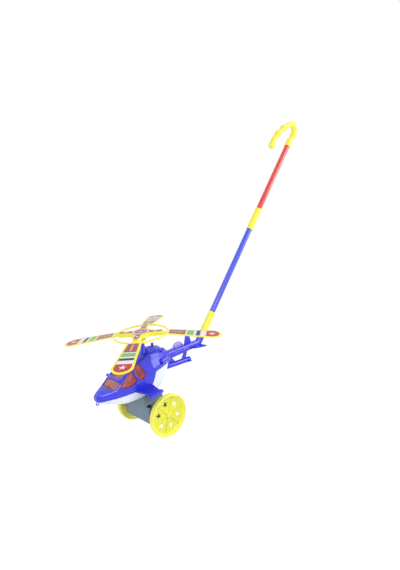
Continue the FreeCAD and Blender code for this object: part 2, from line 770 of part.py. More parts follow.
def upper_shell():
    """The blue upper body: one thin moulding with its windows, wings, mast tower and cowl details."""
    high = s.seam_height + 2 * s.roof_rise
    cone = s.cone_reach
    roof = s.seam_height + s.roof_rise
    shape = upper_outer
    details = [
        raised(5.6, V(-12, 0, roof - 14), V(12, 0.60 * cone, high)),
        raised(0.9, V(-40, 0.60 * cone, s.seam_height + s.tail_step + 3), V(40, 0.66 * cone, high)),
        raised(0.8, V(-40, -0.11 * s.nose_reach, roof - 13.5), V(-8, 0.40 * cone, roof - 8.5)),
        raised(0.8, V(8, -0.11 * s.nose_reach, roof - 13.5), V(40, 0.40 * cone, roof - 8.5)),
        Part.makeSphere(9.3, V(0, 0.76 * cone, roof - 17.2)),
        tower(),
    ]
    knob = V(0, 0.40 * cone, roof + 6.4)
    details.append(rod(knob - V(0, 0, 8), knob, 1.8))
    details.append(Part.makeSphere(2.9, knob))
    bar_y = -0.625 * s.nose_reach
    bar_z = s.seam_height + 0.515 * s.roof_rise
    bar_reach = 0.77 * s.body_half_width
    details.append(capsule(V(-bar_reach, bar_y, bar_z), V(bar_reach, bar_y, bar_z), 3.0))
    for side in (-1, 1):
        details.append(wing(side))
        intake_front = V(side * 0.72 * s.body_half_width, 0.34 * cone, roof - 25)
        intake_back = V(side * 0.50 * s.body_half_width, 0.80 * cone, roof - 25)
        details.append(capsule(intake_front, intake_back, 5.4))
        lip = (intake_back - intake_front).normalize()
        details.append(rod(intake_front + lip * 1.6, intake_front + lip * 4.2, 6.4))
    shape = shape.fuse(details).cut(upper_inner.cut(rod(V(0, 0, roof - 4), V(0, 0, high), 4.4)))
    shape = shape.cut(windows)
    tail_floor = s.seam_height + s.tail_step
    belly_end = BELLY_TAIL[-1][0] * cone
    plate = Part.makeBox(80, cone - belly_end, s.shell_wall, V(-40, belly_end + s.fit_gap, tail_floor))
    shape = shape.fuse(plate.common(upper_outer))
    posts = [rod(V(x, y, s.seam_height), V(x, y, high), post_radius) for x, y in post_places]
    shape = shape.fuse([post.common(upper_outer) for post in posts])
    pilots = [rod(V(x, y, s.seam_height - 1), V(x, y, s.seam_height + 9), s.screw_radius)
              for x, y in post_places]
    bush_seat = rod(V(0, 0, s.tower_top - s.tower_seat), V(0, 0, s.tower_top + 1),
                    s.mast_radius + s.bush_wall + s.fit_gap / 2)
    mast_way = rod(V(0, 0, 0), V(0, 0, s.tower_top), s.mast_radius + 0.5)
    boom_peg = rod(V(0, cone - 4, s.boom_top - 6), V(0, cone + 1, s.boom_top - 6), 3.0 + s.fit_gap / 2)
    return plain("upper_shell", shape.cut(pilots + [bush_seat, mast_way, boom_peg]).removeSplitter())


upper_shell()


eye_centre = V(0, -0.97 * s.nose_reach, s.seam_height - s.fit_gap - s.nose_eye_radius - s.nose_eye_bar)
screw_seat = s.seam_height - 7.0


def belly_shell():
    """The white lower body: a tub whose flat floor sits on the gearbox."""
    shape = belly_outer.cut(belly_inner)
    floor = s.seam_height - s.belly_drop
    well_radius = s.screw_head_radius + s.fit_gap + 1.4
    posts = [rod(V(x, y, floor), V(x, y, s.seam_height), well_radius) for x, y in post_places]
    posts += [rod(V(x, y, floor), V(x, y, floor + hold_length), post_radius) for x, y in hold_places]
    shape = shape.fuse([post.common(belly_outer) for post in posts])
    for x, y in hold_places:
        shape = shape.cut(rod(V(x, y, floor - 1), V(x, y, floor + hold_length + 1), s.screw_radius))
    for x, y in post_places:
        shape = shape.cut(rod(V(x, y, floor - 5), V(x, y, s.seam_height + 1), s.screw_radius + s.fit_gap))
        shape = shape.cut(rod(V(x, y, floor - 5), V(x, y, screw_seat), s.screw_head_radius + s.fit_gap))
    shape = shape.cut(rod(V(0, 0, floor - 1), V(0, 0, floor + 5), s.bush_radius + s.bush_lip + s.fit_gap))
    shape = shape.cut(Part.makeTorus(s.nose_eye_radius, s.nose_eye_bar + s.fit_gap / 2, eye_centre, V(1, 0, 0)))
    return plain("belly_shell", shape.removeSplitter())


belly_shell()


def window_insert():
    """The red clear moulding behind the windows, a thin skin just inside the upper shell."""
    gap = s.shell_wall + s.fit_gap
    skin = upper_solid(gap, 0).cut(upper_solid(gap + s.window_thick, 6.0))
    low = s.seam_height + 0.190 * s.roof_rise
    front = -0.785 * s.nose_reach
    back = -0.150 * s.nose_reach
    block = Part.makeBox(80, back - front, 80, V(-40, front, low))
    return plain("window_insert", skin.common(block).removeSplitter())


window_insert()


body_screws = []
for x, y in post_places:
    body_screws.append(screw(V(x, y, screw_seat), V(0, 0, 1), 15.0, s.screw_head_radius))
plain("body_screws", Part.makeCompound(body_screws))

hold_screws = []
hold_seat = box_height - s.box_wall
for x, y in hold_places:
    thread = s.box_wall + hold_length - 1.0
    hold_screws.append(screw(V(x, y, hold_seat), V(0, 0, 1), thread, s.screw_head_radius))
plain("gearbox_mount_screws", Part.makeCompound(hold_screws))


# A small round eye let into the belly's front end, under the nose.
plain("nose_eye", Part.makeTorus(s.nose_eye_radius, s.nose_eye_bar, eye_centre, V(1, 0, 0)))

# ---------------------------------------------------------------------------------------------
# Mast, bushes and rotor
# ---------------------------------------------------------------------------------------------
turned("mast", "XZ_Plane", "V_Axis", [
    ("0", "axle_height + gear_module * crown_teeth / 2 - crown_face / 2 - 3"),
    ("mast_radius", "axle_height + gear_module * crown_teeth / 2 - crown_face / 2 - 3"),
    ("mast_radius", "rotor_height - 2"),
    ("0", "rotor_height - 2"),
])

turned("mast_bush_lower", "XZ_Plane", "V_Axis", [
    ("mast_radius + running_clearance", "seam_height - belly_drop - bush_depth"),
    ("bush_radius", "seam_height - belly_drop - bush_depth"),
    ("bush_radius", "seam_height - belly_drop"),
    ("bush_radius + bush_lip", "seam_height - belly_drop"),
    ("bush_radius + bush_lip", "seam_height - belly_drop + bush_flange"),
    ("mast_radius + running_clearance", "seam_height - belly_drop + bush_flange"),
])
turned("mast_bush_upper", "XZ_Plane", "V_Axis", [
    ("mast_radius + running_clearance", "tower_top - tower_seat"),
    ("mast_radius + bush_wall", "tower_top - tower_seat"),
    ("mast_radius + bush_wall", "tower_top"),
    ("tower_radius", "tower_top"),
    ("tower_radius", "tower_top + 1.2"),
    ("mast_radius + running_clearance", "tower_top + 1.2"),
])


def blade_outline(root, tip, root_half, tip_half, z):
    """A blade from above: straight sides that spread a little, and a round end."""
    shoulder = tip - tip_half
    corner = [V(root, -root_half, z), V(shoulder, -tip_half, z)]
    corner += [V(p.x, -p.y, z) for p in reversed(corner)]
    edges = [
        Part.LineSegment(corner[0], corner[1]).toShape(),
        Part.Arc(corner[1], V(tip, 0, z), corner[2]).toShape(),
        Part.LineSegment(corner[2], corner[3]).toShape(),
        Part.LineSegment(corner[3], corner[0]).toShape(),
    ]
    return Part.Face(Part.Wire(edges))


def at_blade(shape, number):
    """Drops a flat shape to the blades' droop and turns it to one of the four blades."""
    shape.rotate(V(s.ring_radius, 0, s.rotor_height), V(0, 1, 0), s.blade_droop)
    shape.rotate(V(0, 0, 0), V(0, 0, 1), s.blade_first_angle + 90.0 * number)
    return shape


blade_root = s.ring_radius - 1.0
label_root = s.ring_radius + s.label_border


def arm(number, low, high, centre_half, end_half, reach):
    """One arm of the four-armed spider: a straight beam that narrows outwards."""
    points = [V(0, -centre_half, low), V(reach, -end_half, low)]
    points += [V(p.x, -p.y, low) for p in reversed(points)]
    beam = prism(points, V(0, 0, high - low))
    beam.rotate(V(0, 0, 0), V(0, 0, 1), s.blade_first_angle + 90.0 * number)
    return beam


def platform(radius, low, high):
    """An eight-sided block round the hub with a flat facing each arm."""
    points = [V(radius, 0, low)]
    for n in range(1, 8):
        angle = math.pi * n / 4
        points.append(V(radius * math.cos(angle), radius * math.sin(angle), low))
    block = prism(points, V(0, 0, high - low))
    block.rotate(V(0, 0, 0), V(0, 0, 1), s.blade_first_angle + 22.5)
    return block


def rotor():
    """The yellow rotor: hub, eight-sided platform, four deep arms, a ring and four drooping blades."""
    top = s.rotor_height
    outer = s.ring_radius + s.ring_width / 2
    inner = s.ring_radius - s.ring_width / 2
    hoop = Part.makeCylinder(outer, s.ring_thick, V(0, 0, top - s.ring_thick))
    hoop = hoop.cut(Part.makeCylinder(inner, s.ring_thick + 2, V(0, 0, top - s.ring_thick - 1)))
    shape = Part.makeCylinder(s.hub_radius, s.hub_depth + s.hub_rise, V(0, 0, top - s.hub_depth))
    rise = s.hub_rise
    deep = top + rise - s.spider_depth
    pieces = [hoop, platform(s.platform_radius, deep, top + rise)]
    for n in range(4):
        pieces.append(arm(n, deep, top + rise, s.spider_half + 1.0, s.spider_half, s.ring_radius - 8.0))
        pieces.append(arm(n, top - s.ring_thick, top, s.spider_half, s.spider_half, s.ring_radius))
        blade = blade_outline(blade_root, s.blade_tip, s.blade_root_half, s.blade_tip_half, top)
        pieces.append(at_blade(blade.extrude(V(0, 0, -s.blade_thick)), n))
    shape = shape.fuse(pieces)
    shape = shape.cut(rod(V(0, 0, top - s.hub_depth - 1), V(0, 0, top - 2.0), s.mast_radius))
    return plain("rotor", shape.removeSplitter())


rotor()


def blade_labels():
    """Four printed labels, each stuck on the top of a blade inside its border."""
    labels = []
    tip = s.blade_tip - s.label_border
    root_half = s.blade_root_half - s.label_border
    tip_half = s.blade_tip_half - s.label_border
    for n in range(4):
        face = blade_outline(label_root, tip, root_half, tip_half, s.rotor_height)
        labels.append(at_blade(face.extrude(V(0, 0, s.label_thick)), n))
    return plain("blade_labels", Part.makeCompound(labels))


blade_labels()


def hub_label():
    """One printed label on the platform and arms: an eight-sided middle with four straight arms."""
    low = s.rotor_height + s.hub_rise
    high = low + s.label_thick
    half = s.spider_half - 1.1
    shape = platform(s.platform_radius - 1.8, low, high)
    for n in range(4):
        shape = shape.fuse(arm(n, low, high, half + 1.0, half, s.ring_radius - 9.5))
    return plain("hub_label", shape.removeSplitter())


hub_label()

# ---------------------------------------------------------------------------------------------
# Tail
# ---------------------------------------------------------------------------------------------
boom_drop = 4.0
stick_way = V(0, math.cos(math.radians(s.stick_angle)), math.sin(math.radians(s.stick_angle)))
stick_foot = V(0, s.stick_foot_y, s.stick_foot_z)


def on_stick(distance):
    """A point on the stick's centre line, measured upwards from its foot."""
    return stick_foot + stick_way * distance


def boom_section(y, inset):
    along = (y - s.cone_reach) / (s.boom_reach - s.cone_reach)
    half = s.boom_half_width * (1 - 0.16 * along) - inset
    top = s.boom_top - boom_drop * along - inset
    low = s.boom_top - s.boom_height + inset
    slope = half * 0.35
    left = [
        V(half - slope * 0.5, y, low),
        V(half, y, low + 3.0),
        V(half, y, top - 3.6),
        V(half - slope, y, top),
    ]
    return left + [V(-p.x, p.y, p.z) for p in reversed(left)]


def boom_z(y, share):
    """A height on the boom at y, from 0 at its underside to 1 at its top."""
    along = (y - s.cone_reach) / (s.boom_reach - s.cone_reach)
    low = s.boom_top - s.boom_height
    return low + share * (s.boom_height - boom_drop * along)


sleeve_radius = s.tube_radius + s.sleeve_wall
sleeve_start = -9.0
spigot_end = s.lower_sleeve + sleeve_start - s.plug_depth - 1.0


def boom_ribs():
    """Two round-ended ribs along each side of the boom, a long one and a short one."""
    front, back = s.cone_reach, s.boom_reach
    ribs = []
    for side in (-1, 1):
        for start, end in ((0.05, 0.60), (0.63, 0.86)):
            y_start = front + start * (back - front)
            y_end = front + end * (back - front)
            x = side * (s.boom_half_width * 0.93 - 0.6)
            rib_start = V(x, y_start, boom_z(y_start, 0.55))
            ribs.append(capsule(rib_start, V(x * 0.94, y_end, boom_z(y_end, 0.55)), 2.3))
    return ribs


def tail_boom():
    """The hollow tail boom, with side ribs, a peg for the body and a spigot for the stick."""
    front, back = s.cone_reach, s.boom_reach
    outer = ruled([boom_section(front, 0), boom_section(back, 0)])
    inner = ruled([boom_section(front + 2.0, s.shell_wall), boom_section(back - 1.6, s.shell_wall)])
    outer = rounded(outer, 3.0, lambda e: e.BoundBox.YLength < 0.1 and e.BoundBox.YMin > back - 0.1)
    peg = rod(V(0, front - 3.0, s.boom_top - 6), V(0, front + 2.5, s.boom_top - 6), 3.0)
    shape = outer.fuse([peg] + boom_ribs()).cut(inner)
    spigot = rod(on_stick(-34.0), on_stick(spigot_end), s.tube_radius)
    boss = rod(on_stick(-34.0), on_stick(sleeve_start), sleeve_radius)
    under = Part.makeBox(60, 80, 60, V(-30, back - 60, boom_z(back, 0) - 60.5))
    shape = shape.fuse([spigot.cut(under), boss.cut(under)])
    return plain("tail_boom", shape.removeSplitter())


tail_boom()


fin_y = s.cone_reach + 0.53 * (s.boom_reach - s.cone_reach)
fin_top = boom_z(fin_y, 1) + s.fin_rise
tail_fin = prism(in_sheet_plane(-s.fin_thick / 2, [
    (fin_y, boom_z(fin_y, 1)),
    (fin_y + 19.5, boom_z(fin_y + 19.5, 1)),
    (fin_y + 15.5, fin_top),
    (fin_y + 9.5, fin_top),
]), V(s.fin_thick, 0, 0))
plain("tail_fin", tail_fin)


def tailplane():
    """A thin swept tailplane in two halves, one on each side of the boom."""
    front = s.cone_reach + 0.62 * (s.boom_reach - s.cone_reach)
    back = s.boom_reach - 4.0
    half = s.tailplane_half
    z = boom_z(back, 0.28)
    root = s.boom_half_width * 0.86
    points = [
        V(root - 0.9, front, z),
        V(half * 0.62, front + 9.0, z),
        V(half, back + 1.0, z),
        V(half - 2.0, back + 4.0, z),
        V(root - 0.9, back, z),
    ]
    plate = prism(points, V(0, 0, s.tailplane_thick))
    boom = ruled([boom_section(s.cone_reach, 0), boom_section(s.boom_reach, 0)])
    stick = rod(on_stick(-34.0), on_stick(spigot_end), sleeve_radius)
    half_plate = plate.cut([boom, stick] + boom_ribs())
    return plain("tailplane", Part.makeCompound([half_plate, mirrored(half_plate)]))


tailplane()


def crest():
    """A thin half-round crest on the boom with three round holes and a low lead-in strip."""
    thick = s.crest_thick
    start = s.cone_reach + 0.20 * (s.boom_reach - s.cone_reach)
    reach = 2.0 * s.crest_radius
    z0 = boom_z(start, 1)
    z1 = boom_z(start + reach, 1)
    strip_y = start - 15.0
    edges = [
        Part.LineSegment(V(0, start + reach, z1), V(0, strip_y, boom_z(strip_y, 1))),
        Part.LineSegment(V(0, strip_y, boom_z(strip_y, 1)), V(0, start - 1.0, z0 + 3.0)),
        Part.LineSegment(V(0, start - 1.0, z0 + 3.0), V(0, start, z0 + 6.5)),
        Part.Arc(V(0, start, z0 + 6.5), V(0, start + 0.52 * reach, z0 + 0.85 * s.crest_radius),
                 V(0, start + reach, z1)),
    ]
    face = Part.Face(Part.Wire([edge.toShape() for edge in edges]))
    shape = face.extrude(V(thick, 0, 0))
    shape.translate(V(-thick / 2, 0, 0))
    for n in range(3):
        y = start + 2.5 + 9.4 * n
        shape = shape.cut(rod(V(-5, y, z0 + 2.2), V(5, y, z0 + 2.2), 1.6))
    return plain("boom_crest", shape)


crest()


def tail_skid():
    """A missile-shaped skid under the boom: round-ended body, two tail vanes and two struts."""
    nose_y = s.cone_reach - 7.5
    tail_y = nose_y + s.skid_length
    nose_z = boom_z(s.cone_reach, 0) - 14.9
    tail_z = nose_z - 5.9
    radius = s.skid_radius
    start, end = V(0, nose_y, nose_z), V(0, tail_y, tail_z)
    way = (end - start).normalize()
    body = rod(start + way * 4.0, end, radius)
    body = body.fuse(Part.makeCone(radius * 0.80, radius, 4.0, start, way))
    body = rounded(body, 1.4, lambda e: e.BoundBox.Center.sub(start).Length < 0.2 and e.Length > 3)
    body = rounded(body, 1.6, lambda e: e.BoundBox.Center.sub(end).Length < 0.2 and e.Length > 3)
    body = body.cut(rod(start - way, start + way * 3.0, radius * 0.30))
    vane_low = tail_z - 1.6
    vane = prism([
        V(0, tail_y - 21, vane_low),
        V(0, tail_y - 4, vane_low),
        V(radius + 4.5, tail_y - 4, vane_low),
        V(radius + 4.5, tail_y - 8, vane_low),
    ], V(0, 0, 1.2))
    boom = ruled([boom_section(s.cone_reach, 0), boom_section(s.boom_reach, 0)])
    struts = []
    # Each strut's places along the skid: top front, top back, foot front, foot back.
    for shares in ((0.05, 0.24, 0.04, 0.45), (0.79, 0.92, 0.62, 0.82)):
        top_front, top_back, foot_front, foot_back = [nose_y + share * s.skid_length for share in shares]
        top_front = max(top_front, s.cone_reach + 2.2)
        corners = [
            (top_front, boom_z(top_front, 0) + 1.0),
            (top_back, boom_z(top_back, 0) + 1.0),
            (foot_back, nose_z - 2.0),
            (foot_front, nose_z - 2.0),
        ]
        struts.append(prism(in_sheet_plane(-0.9, corners), V(1.8, 0, 0)).cut(boom))
    return plain("tail_skid", body.fuse([vane, mirrored(vane)] + struts).removeSplitter())


tail_skid()

# ---------------------------------------------------------------------------------------------
# Stick and handle
# ---------------------------------------------------------------------------------------------
stick_turn = FreeCAD.Rotation(V(1, 0, 0), s.stick_angle - 90.0)


def stick_piece(label, start, corners):
    """A turned piece on the stick, its profile given from start upwards along the stick."""
    body = turned(label, "XZ_Plane", "V_Axis", corners)
    body.Placement = FreeCAD.Placement(on_stick(start), stick_turn)
    return body


lower_end = sleeve_start + s.lower_sleeve
middle_start = lower_end + s.lower_tube_show
middle_end = middle_start + s.middle_sleeve
handle_start = middle_end + s.upper_tube_show

stick_piece("lower_sleeve", sleeve_start, [
    ("tube_radius", "0"),
    ("tube_radius + sleeve_wall - 0.8", "0"),
    ("tube_radius + sleeve_wall", "0.8"),
    ("tube_radius + sleeve_wall", "lower_sleeve - 0.8"),
    ("tube_radius + sleeve_wall - 0.8", "lower_sleeve"),
    ("tube_radius", "lower_sleeve"),
])
stick_piece("lower_tube", lower_end - s.plug_depth, [
    ("tube_radius - tube_wall", "0"),
    ("tube_radius", "0"),
    ("tube_radius", "lower_tube_show + 2 * plug_depth"),
    ("tube_radius - tube_wall", "lower_tube_show + 2 * plug_depth"),
])
stick_piece("middle_sleeve", middle_start, [
    ("tube_radius", "0"),
    ("tube_radius + sleeve_wall - 0.8", "0"),
    ("tube_radius + sleeve_wall", "0.8"),
    ("tube_radius + sleeve_wall", "middle_sleeve - 0.8"),
    ("tube_radius + sleeve_wall - 0.8", "middle_sleeve"),
    ("tube_radius", "middle_sleeve"),
    ("tube_radius", "middle_sleeve - plug_depth"),
    ("0", "middle_sleeve - plug_depth"),
    ("0", "plug_depth"),
    ("tube_radius", "plug_depth"),
])
stick_piece("upper_tube", middle_end - s.plug_depth, [
    ("tube_radius - tube_wall", "0"),
    ("tube_radius", "0"),
    ("tube_radius", "upper_tube_show + 2 * plug_depth"),
    ("tube_radius - tube_wall", "upper_tube_show + 2 * plug_depth"),
])

# Places on the hook's centre line, as (distance up the stick, distance ahead of it).
HOOK = [(12.0, 0.0), (24.0, -1.0), (34.0, -3.0), (45.0, -3.0), (54.0, 2.0), (58.0, 11.0), (52.0, 21.0),
        (37.0, 30.0), (18.0, 39.0), (-6.0, 46.5), (-24.0, 49.3), (-38.0, 47.6)]
# Shares of the centre line's length where the bar swells between the fingers.
SWELLS = [0.155, 0.265, 0.345, 0.60, 0.765, 1.0]
stick_ahead = V(0, -math.sin(math.radians(s.stick_angle)), math.cos(math.radians(s.stick_angle)))


def on_hook(up, ahead):
    return on_stick(handle_start + up) + stick_ahead * ahead


def bar_radius(share):
    """The bar's radius at a share of its length: plain, and larger at each of SWELLS."""
    swell = sum(math.exp(-((share - place) / 0.034) ** 2) for place in SWELLS)
    return s.handle_radius + s.handle_swell * min(swell, 1.0)


def handle():
    """The hooked handle: a socket on the tube and a bent round bar that swells between fingers."""
    curve = Part.BSplineCurve()
    curve.interpolate([on_hook(*place) for place in HOOK])
    line = curve.toShape()
    rings = []
    for share in [n / 30 for n in range(31)]:
        distance = share * line.Length
        along = curve.parameterAtDistance(distance)
        point = curve.value(along)
        way = curve.tangent(along)[0]
        tilt = math.degrees(math.atan2(-way.y, way.z))
        hoop = Part.Wire(Part.makeCircle(bar_radius(share)))
        hoop.Placement = FreeCAD.Placement(point, FreeCAD.Rotation(V(1, 0, 0), tilt))
        rings.append(hoop)
    bar = Part.makeLoft(rings, True, False)
    socket = rod(on_stick(handle_start), on_stick(handle_start + s.handle_socket), sleeve_radius)
    bore = rod(on_stick(handle_start - 1), on_stick(handle_start + s.plug_depth), s.tube_radius)
    tip = Part.makeSphere(bar_radius(1.0), curve.EndPoint)
    return plain("handle", bar.fuse(tip).fuse(socket).cut(bore))


handle()

# ---------------------------------------------------------------------------------------------
# Checks and export
# ---------------------------------------------------------------------------------------------
doc.recompute()
for item in doc.Objects:
    if "Invalid" in item.State or "Error" in item.State:
        raise RuntimeError(f"{item.Label} did not compute: {item.State}")
for piece in parts:
    if piece.Shape.isNull() or not piece.Shape.isValid() or not piece.Shape.Solids:
        raise RuntimeError(f"{piece.Label} has no valid shape")

os.makedirs("parts", exist_ok=True)
for piece in parts:
    piece.Shape.exportStep(os.path.join("parts", f"{piece.Label}.step"))
print(f"{len(parts)} pieces written")
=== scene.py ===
"""Looks for the push-along toy helicopter: moulded shells, printed labels, wheels and push stick.

Lengths in the functions below are millimetres in the toy's own frame: +Z up, nose towards -Y, left
side towards +X, origin on the gearbox's underside below the mast.  Meshes are stored in metres.
"""
import math

import bmesh
import bpy
import numpy as np
from mathutils import Matrix


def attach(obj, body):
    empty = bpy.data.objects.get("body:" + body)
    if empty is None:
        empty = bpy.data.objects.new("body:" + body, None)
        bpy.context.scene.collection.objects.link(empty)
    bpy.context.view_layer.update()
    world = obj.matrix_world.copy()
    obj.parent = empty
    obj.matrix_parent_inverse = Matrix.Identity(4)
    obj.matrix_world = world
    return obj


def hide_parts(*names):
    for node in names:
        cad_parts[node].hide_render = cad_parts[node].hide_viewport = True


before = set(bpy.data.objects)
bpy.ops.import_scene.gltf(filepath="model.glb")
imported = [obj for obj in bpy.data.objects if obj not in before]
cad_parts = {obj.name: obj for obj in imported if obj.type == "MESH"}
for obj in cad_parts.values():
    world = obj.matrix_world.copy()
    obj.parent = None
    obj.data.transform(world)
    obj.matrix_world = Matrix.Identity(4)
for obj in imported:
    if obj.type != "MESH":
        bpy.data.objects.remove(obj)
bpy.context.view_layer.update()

MM = 0.001

# ---------------------------------------------------------------------------------------------
# Shader maths
# ---------------------------------------------------------------------------------------------


def add_node(tree, kind, settings, inputs, output=0):
    """Adds a shader node, with its settings and its sockets' values or links, and gives an output."""
    added = tree.nodes.new(kind)
    for key, value in settings.items():
        setattr(added, key, value)
    for key, value in inputs.items():
        if isinstance(value, bpy.types.NodeSocket):
            tree.links.new(value, added.inputs[key])
        else:
            added.inputs[key].default_value = value
    return added.outputs[output]


class Field:
    """A number or colour that varies over a surface: one output socket of a material's tree."""

    def __init__(self, finish, socket):
        self.finish = finish
        self.socket = socket

    def maths(self, operation, *others):
        return self.finish.node("ShaderNodeMath", {"operation": operation}, dict(enumerate((self, *others))))

    def __add__(self, other):
        return self.maths("ADD", other)

    def __sub__(self, other):
        return self.maths("SUBTRACT", other)

    def __mul__(self, other):
        return self.maths("MULTIPLY", other)

    def __truediv__(self, other):
        return self.maths("DIVIDE", other)

    def __gt__(self, other):
        return self.maths("GREATER_THAN", other)

    def __lt__(self, other):
        return self.maths("LESS_THAN", other)

    def step(self, low, high):
        """0 below low, 1 above high and a smooth rise between them."""
        settings = {"interpolation_type": "SMOOTHSTEP"}
        return self.finish.node("ShaderNodeMapRange", settings, {0: self, 1: low, 2: high})


class Finish:
    """A named material: its tree, its Principled shader and short ways to add nodes to it."""

    def __init__(self, name, **fixed):
        self.material = bpy.data.materials.new(name)
        self.material.use_nodes = True
        self.tree = self.material.node_tree
        self.shader = self.tree.nodes["Principled BSDF"]
        for socket, value in fixed.items():
            self.shader.inputs[socket.replace("_", " ")].default_value = value

    def node(self, kind, settings, inputs, output=0):
        sockets = {key: value.socket if isinstance(value, Field) else value for key, value in inputs.items()}
        return Field(self, add_node(self.tree, kind, settings, sockets, output))

    def feed(self, socket, field):
        self.tree.links.new(field.socket, self.shader.inputs[socket])

    def place(self):
        """The point on the piece, in metres from the toy's origin."""
        return self.node("ShaderNodeTexCoord", {}, {}, "Object")

    def noise(self, scale, detail=3.0, roughness=0.5):
        inputs = {"Vector": self.place(), "Scale": scale, "Detail": detail, "Roughness": roughness}
        return self.node("ShaderNodeTexNoise", {}, inputs)

    def blend(self, share, first, second):
        """A colour between two colours."""
        settings = {"data_type": "RGBA", "blend_type": "MIX"}
        return self.node("ShaderNodeMix", settings, {0: share, 6: first, 7: second}, 2)

    def bump(self, height, strength, distance=0.0004):
        inputs = {"Height": height, "Strength": strength, "Distance": distance}
        self.feed("Normal", self.node("ShaderNodeBump", {}, inputs))


def linear(red, green, blue):
    """A colour given as it looks, 0 to 255, turned to the linear values that shaders take."""
    shares = np.array([red, green, blue]) / 255.0
    low = shares / 12.92
    high = ((shares + 0.055) / 1.055) ** 2.4
    return (*np.where(shares <= 0.04045, low, high).tolist(), 1.0)


def moulded(name, colour, shade, roughness=0.24, coat=0.35, grain=0.004, soft=0.22):
    """Injection-moulded plastic: slow drifts of tone, faint flow marks and a fine orange-peel skin."""
    finish = Finish(name, Coat_Weight=coat, Coat_Roughness=soft)
    drift = finish.noise(18.0, 2.0)
    flow = finish.noise(60.0, 3.0, 0.5)
    tone = (drift * 0.75 + flow * 0.25).step(0.30, 0.70)
    finish.feed("Base Color", finish.blend(tone, shade, colour))
    rub = finish.noise(120.0, 2.0, 0.5)
    finish.feed("Roughness", rub * 0.06 + (roughness - 0.03))
    skin = finish.noise(400.0, 1.0) * 0.25 + finish.noise(70.0, 2.0) * 1.4
    finish.bump(skin, grain)
    return finish.material


BLUE = moulded("glossy_blue_moulding", linear(36, 38, 224), linear(28, 30, 212), 0.26, 0.5)
WHITE = moulded("glossy_white_moulding", linear(226, 235, 250), linear(216, 227, 246), 0.28, 0.3)
YELLOW = moulded("glossy_yellow_moulding", linear(240, 232, 64), linear(230, 222, 50), 0.30, 0.3)
GREY = moulded("satin_grey_moulding", linear(108, 128, 142), linear(98, 117, 132), 0.40, 0.10, 0.012)
BLACK = moulded("plain_black_moulding", linear(24, 24, 27), linear(16, 16, 18), 0.34, 0.2)
BLUE_TUBE = moulded("blue_drawn_tube", linear(62, 80, 214), linear(56, 72, 206), 0.30, 0.6, 0.002, 0.24)
RED_TUBE = moulded("red_drawn_tube", linear(222, 54, 50), linear(212, 46, 42), 0.30, 0.6, 0.002, 0.24)
GEAR_WHITE = moulded("milky_gear_moulding", linear(222, 220, 210), linear(208, 205, 194), 0.38, 0.1)


def wheel_yellow_with_painted_light():
    """The wheels' plastic with painted light: a painted highlight makes the rim paler, and painted shade
    makes the thin web a little darker and greener.
    """
    finish = Finish("glossy_wheel_moulding_painted_light", Coat_Weight=0.3, Coat_Roughness=0.2)
    shift = finish.node("ShaderNodeVectorMath", {"operation": "SUBTRACT"},
                        {0: finish.place(), 1: (0.0, 0.0, 0.008)})
    shift = finish.node("ShaderNodeVectorMath", {"operation": "MULTIPLY"}, {0: shift, 1: (0.0, 1.0, 1.0)})
    radius = finish.node("ShaderNodeVectorMath", {"operation": "LENGTH"}, {0: shift}, "Value")
    tone = finish.noise(20.0, 2.0).step(0.3, 0.7)
    # The web's two colours are darker and greener than the rim's, as painted shade; noise picks between the
    # two at random.
    web = finish.blend(tone, linear(214, 213, 50), linear(224, 222, 60))
    # Painted light by distance from the axle: the paler rim colour is a painted highlight over the painted
    # shade of the web.
    finish.feed("Base Color", finish.blend(radius.step(0.0325, 0.0365), web, linear(243, 237, 88)))
    finish.feed("Roughness", finish.noise(120.0, 2.0) * 0.06 + 0.27)
    finish.bump(finish.noise(70.0, 2.0), 0.012)
    return finish.material


WHEEL_YELLOW_PAINTED_LIGHT = wheel_yellow_with_painted_light()


def window_red():
    """Tinted red glazing: deep red with paler clouds painted in as painted reflections of light in the
    sheet, and darker streaks.
    """
    finish = Finish("red_window_moulding", Coat_Weight=0.5, Coat_Roughness=0.12)
    # Paler red clouds from noise: a painted reflection.
    painted_reflection = finish.noise(60.0, 3.0, 0.55).step(0.45, 0.68)
    red = finish.blend(painted_reflection, linear(150, 34, 28), linear(188, 78, 58))
    streak = finish.noise(26.0, 1.0).step(0.50, 0.70)
    finish.feed("Base Color", finish.blend(streak * 0.7, red, linear(128, 26, 28)))
    finish.feed("Roughness", finish.noise(200.0, 3.0) * 0.08 + 0.08)
    finish.bump(finish.noise(70.0, 2.0), 0.03)
    return finish.material


def crest_lilac():
    """Half-clear lilac plastic that lets some of what is behind it through."""
    finish = Finish("half_clear_lilac", Coat_Weight=0.5, Coat_Roughness=0.1)
    tone = finish.noise(60.0, 3.0).step(0.35, 0.65)
    finish.feed("Base Color", finish.blend(tone, linear(150, 140, 238), linear(172, 164, 244)))
    finish.feed("Roughness", finish.noise(220.0, 4.0) * 0.14 + 0.16)
    finish.feed("Alpha", tone * 0.10 + 0.72)
    return finish.material


def metal(name, light, dark, roughness):
    """Drawn or plated steel with fine rubbed marks."""
    finish = Finish(name, Metallic=1.0)
    mark = finish.noise(420.0, 6.0, 0.7).step(0.3, 0.7)
    finish.feed("Base Color", finish.blend(mark, dark, light))
    finish.feed("Roughness", mark * 0.15 + roughness)
    finish.bump(finish.noise(1500.0, 3.0), 0.03, 0.0001)
    return finish.material


STEEL = metal("bright_steel", linear(205, 207, 210), linear(172, 174, 178), 0.18)
DARK_STEEL = metal("blackened_steel", linear(60, 60, 64), linear(34, 34, 38), 0.22)

DUSTY_RED = linear(158, 64, 68)
TIP_RED = linear(186, 22, 26)
LABEL_WHITE = linear(226, 222, 228)
LABEL_GREEN = linear(112, 184, 70)
LABEL_NAVY = linear(18, 20, 66)
PALE_PINK = linear(226, 186, 188)

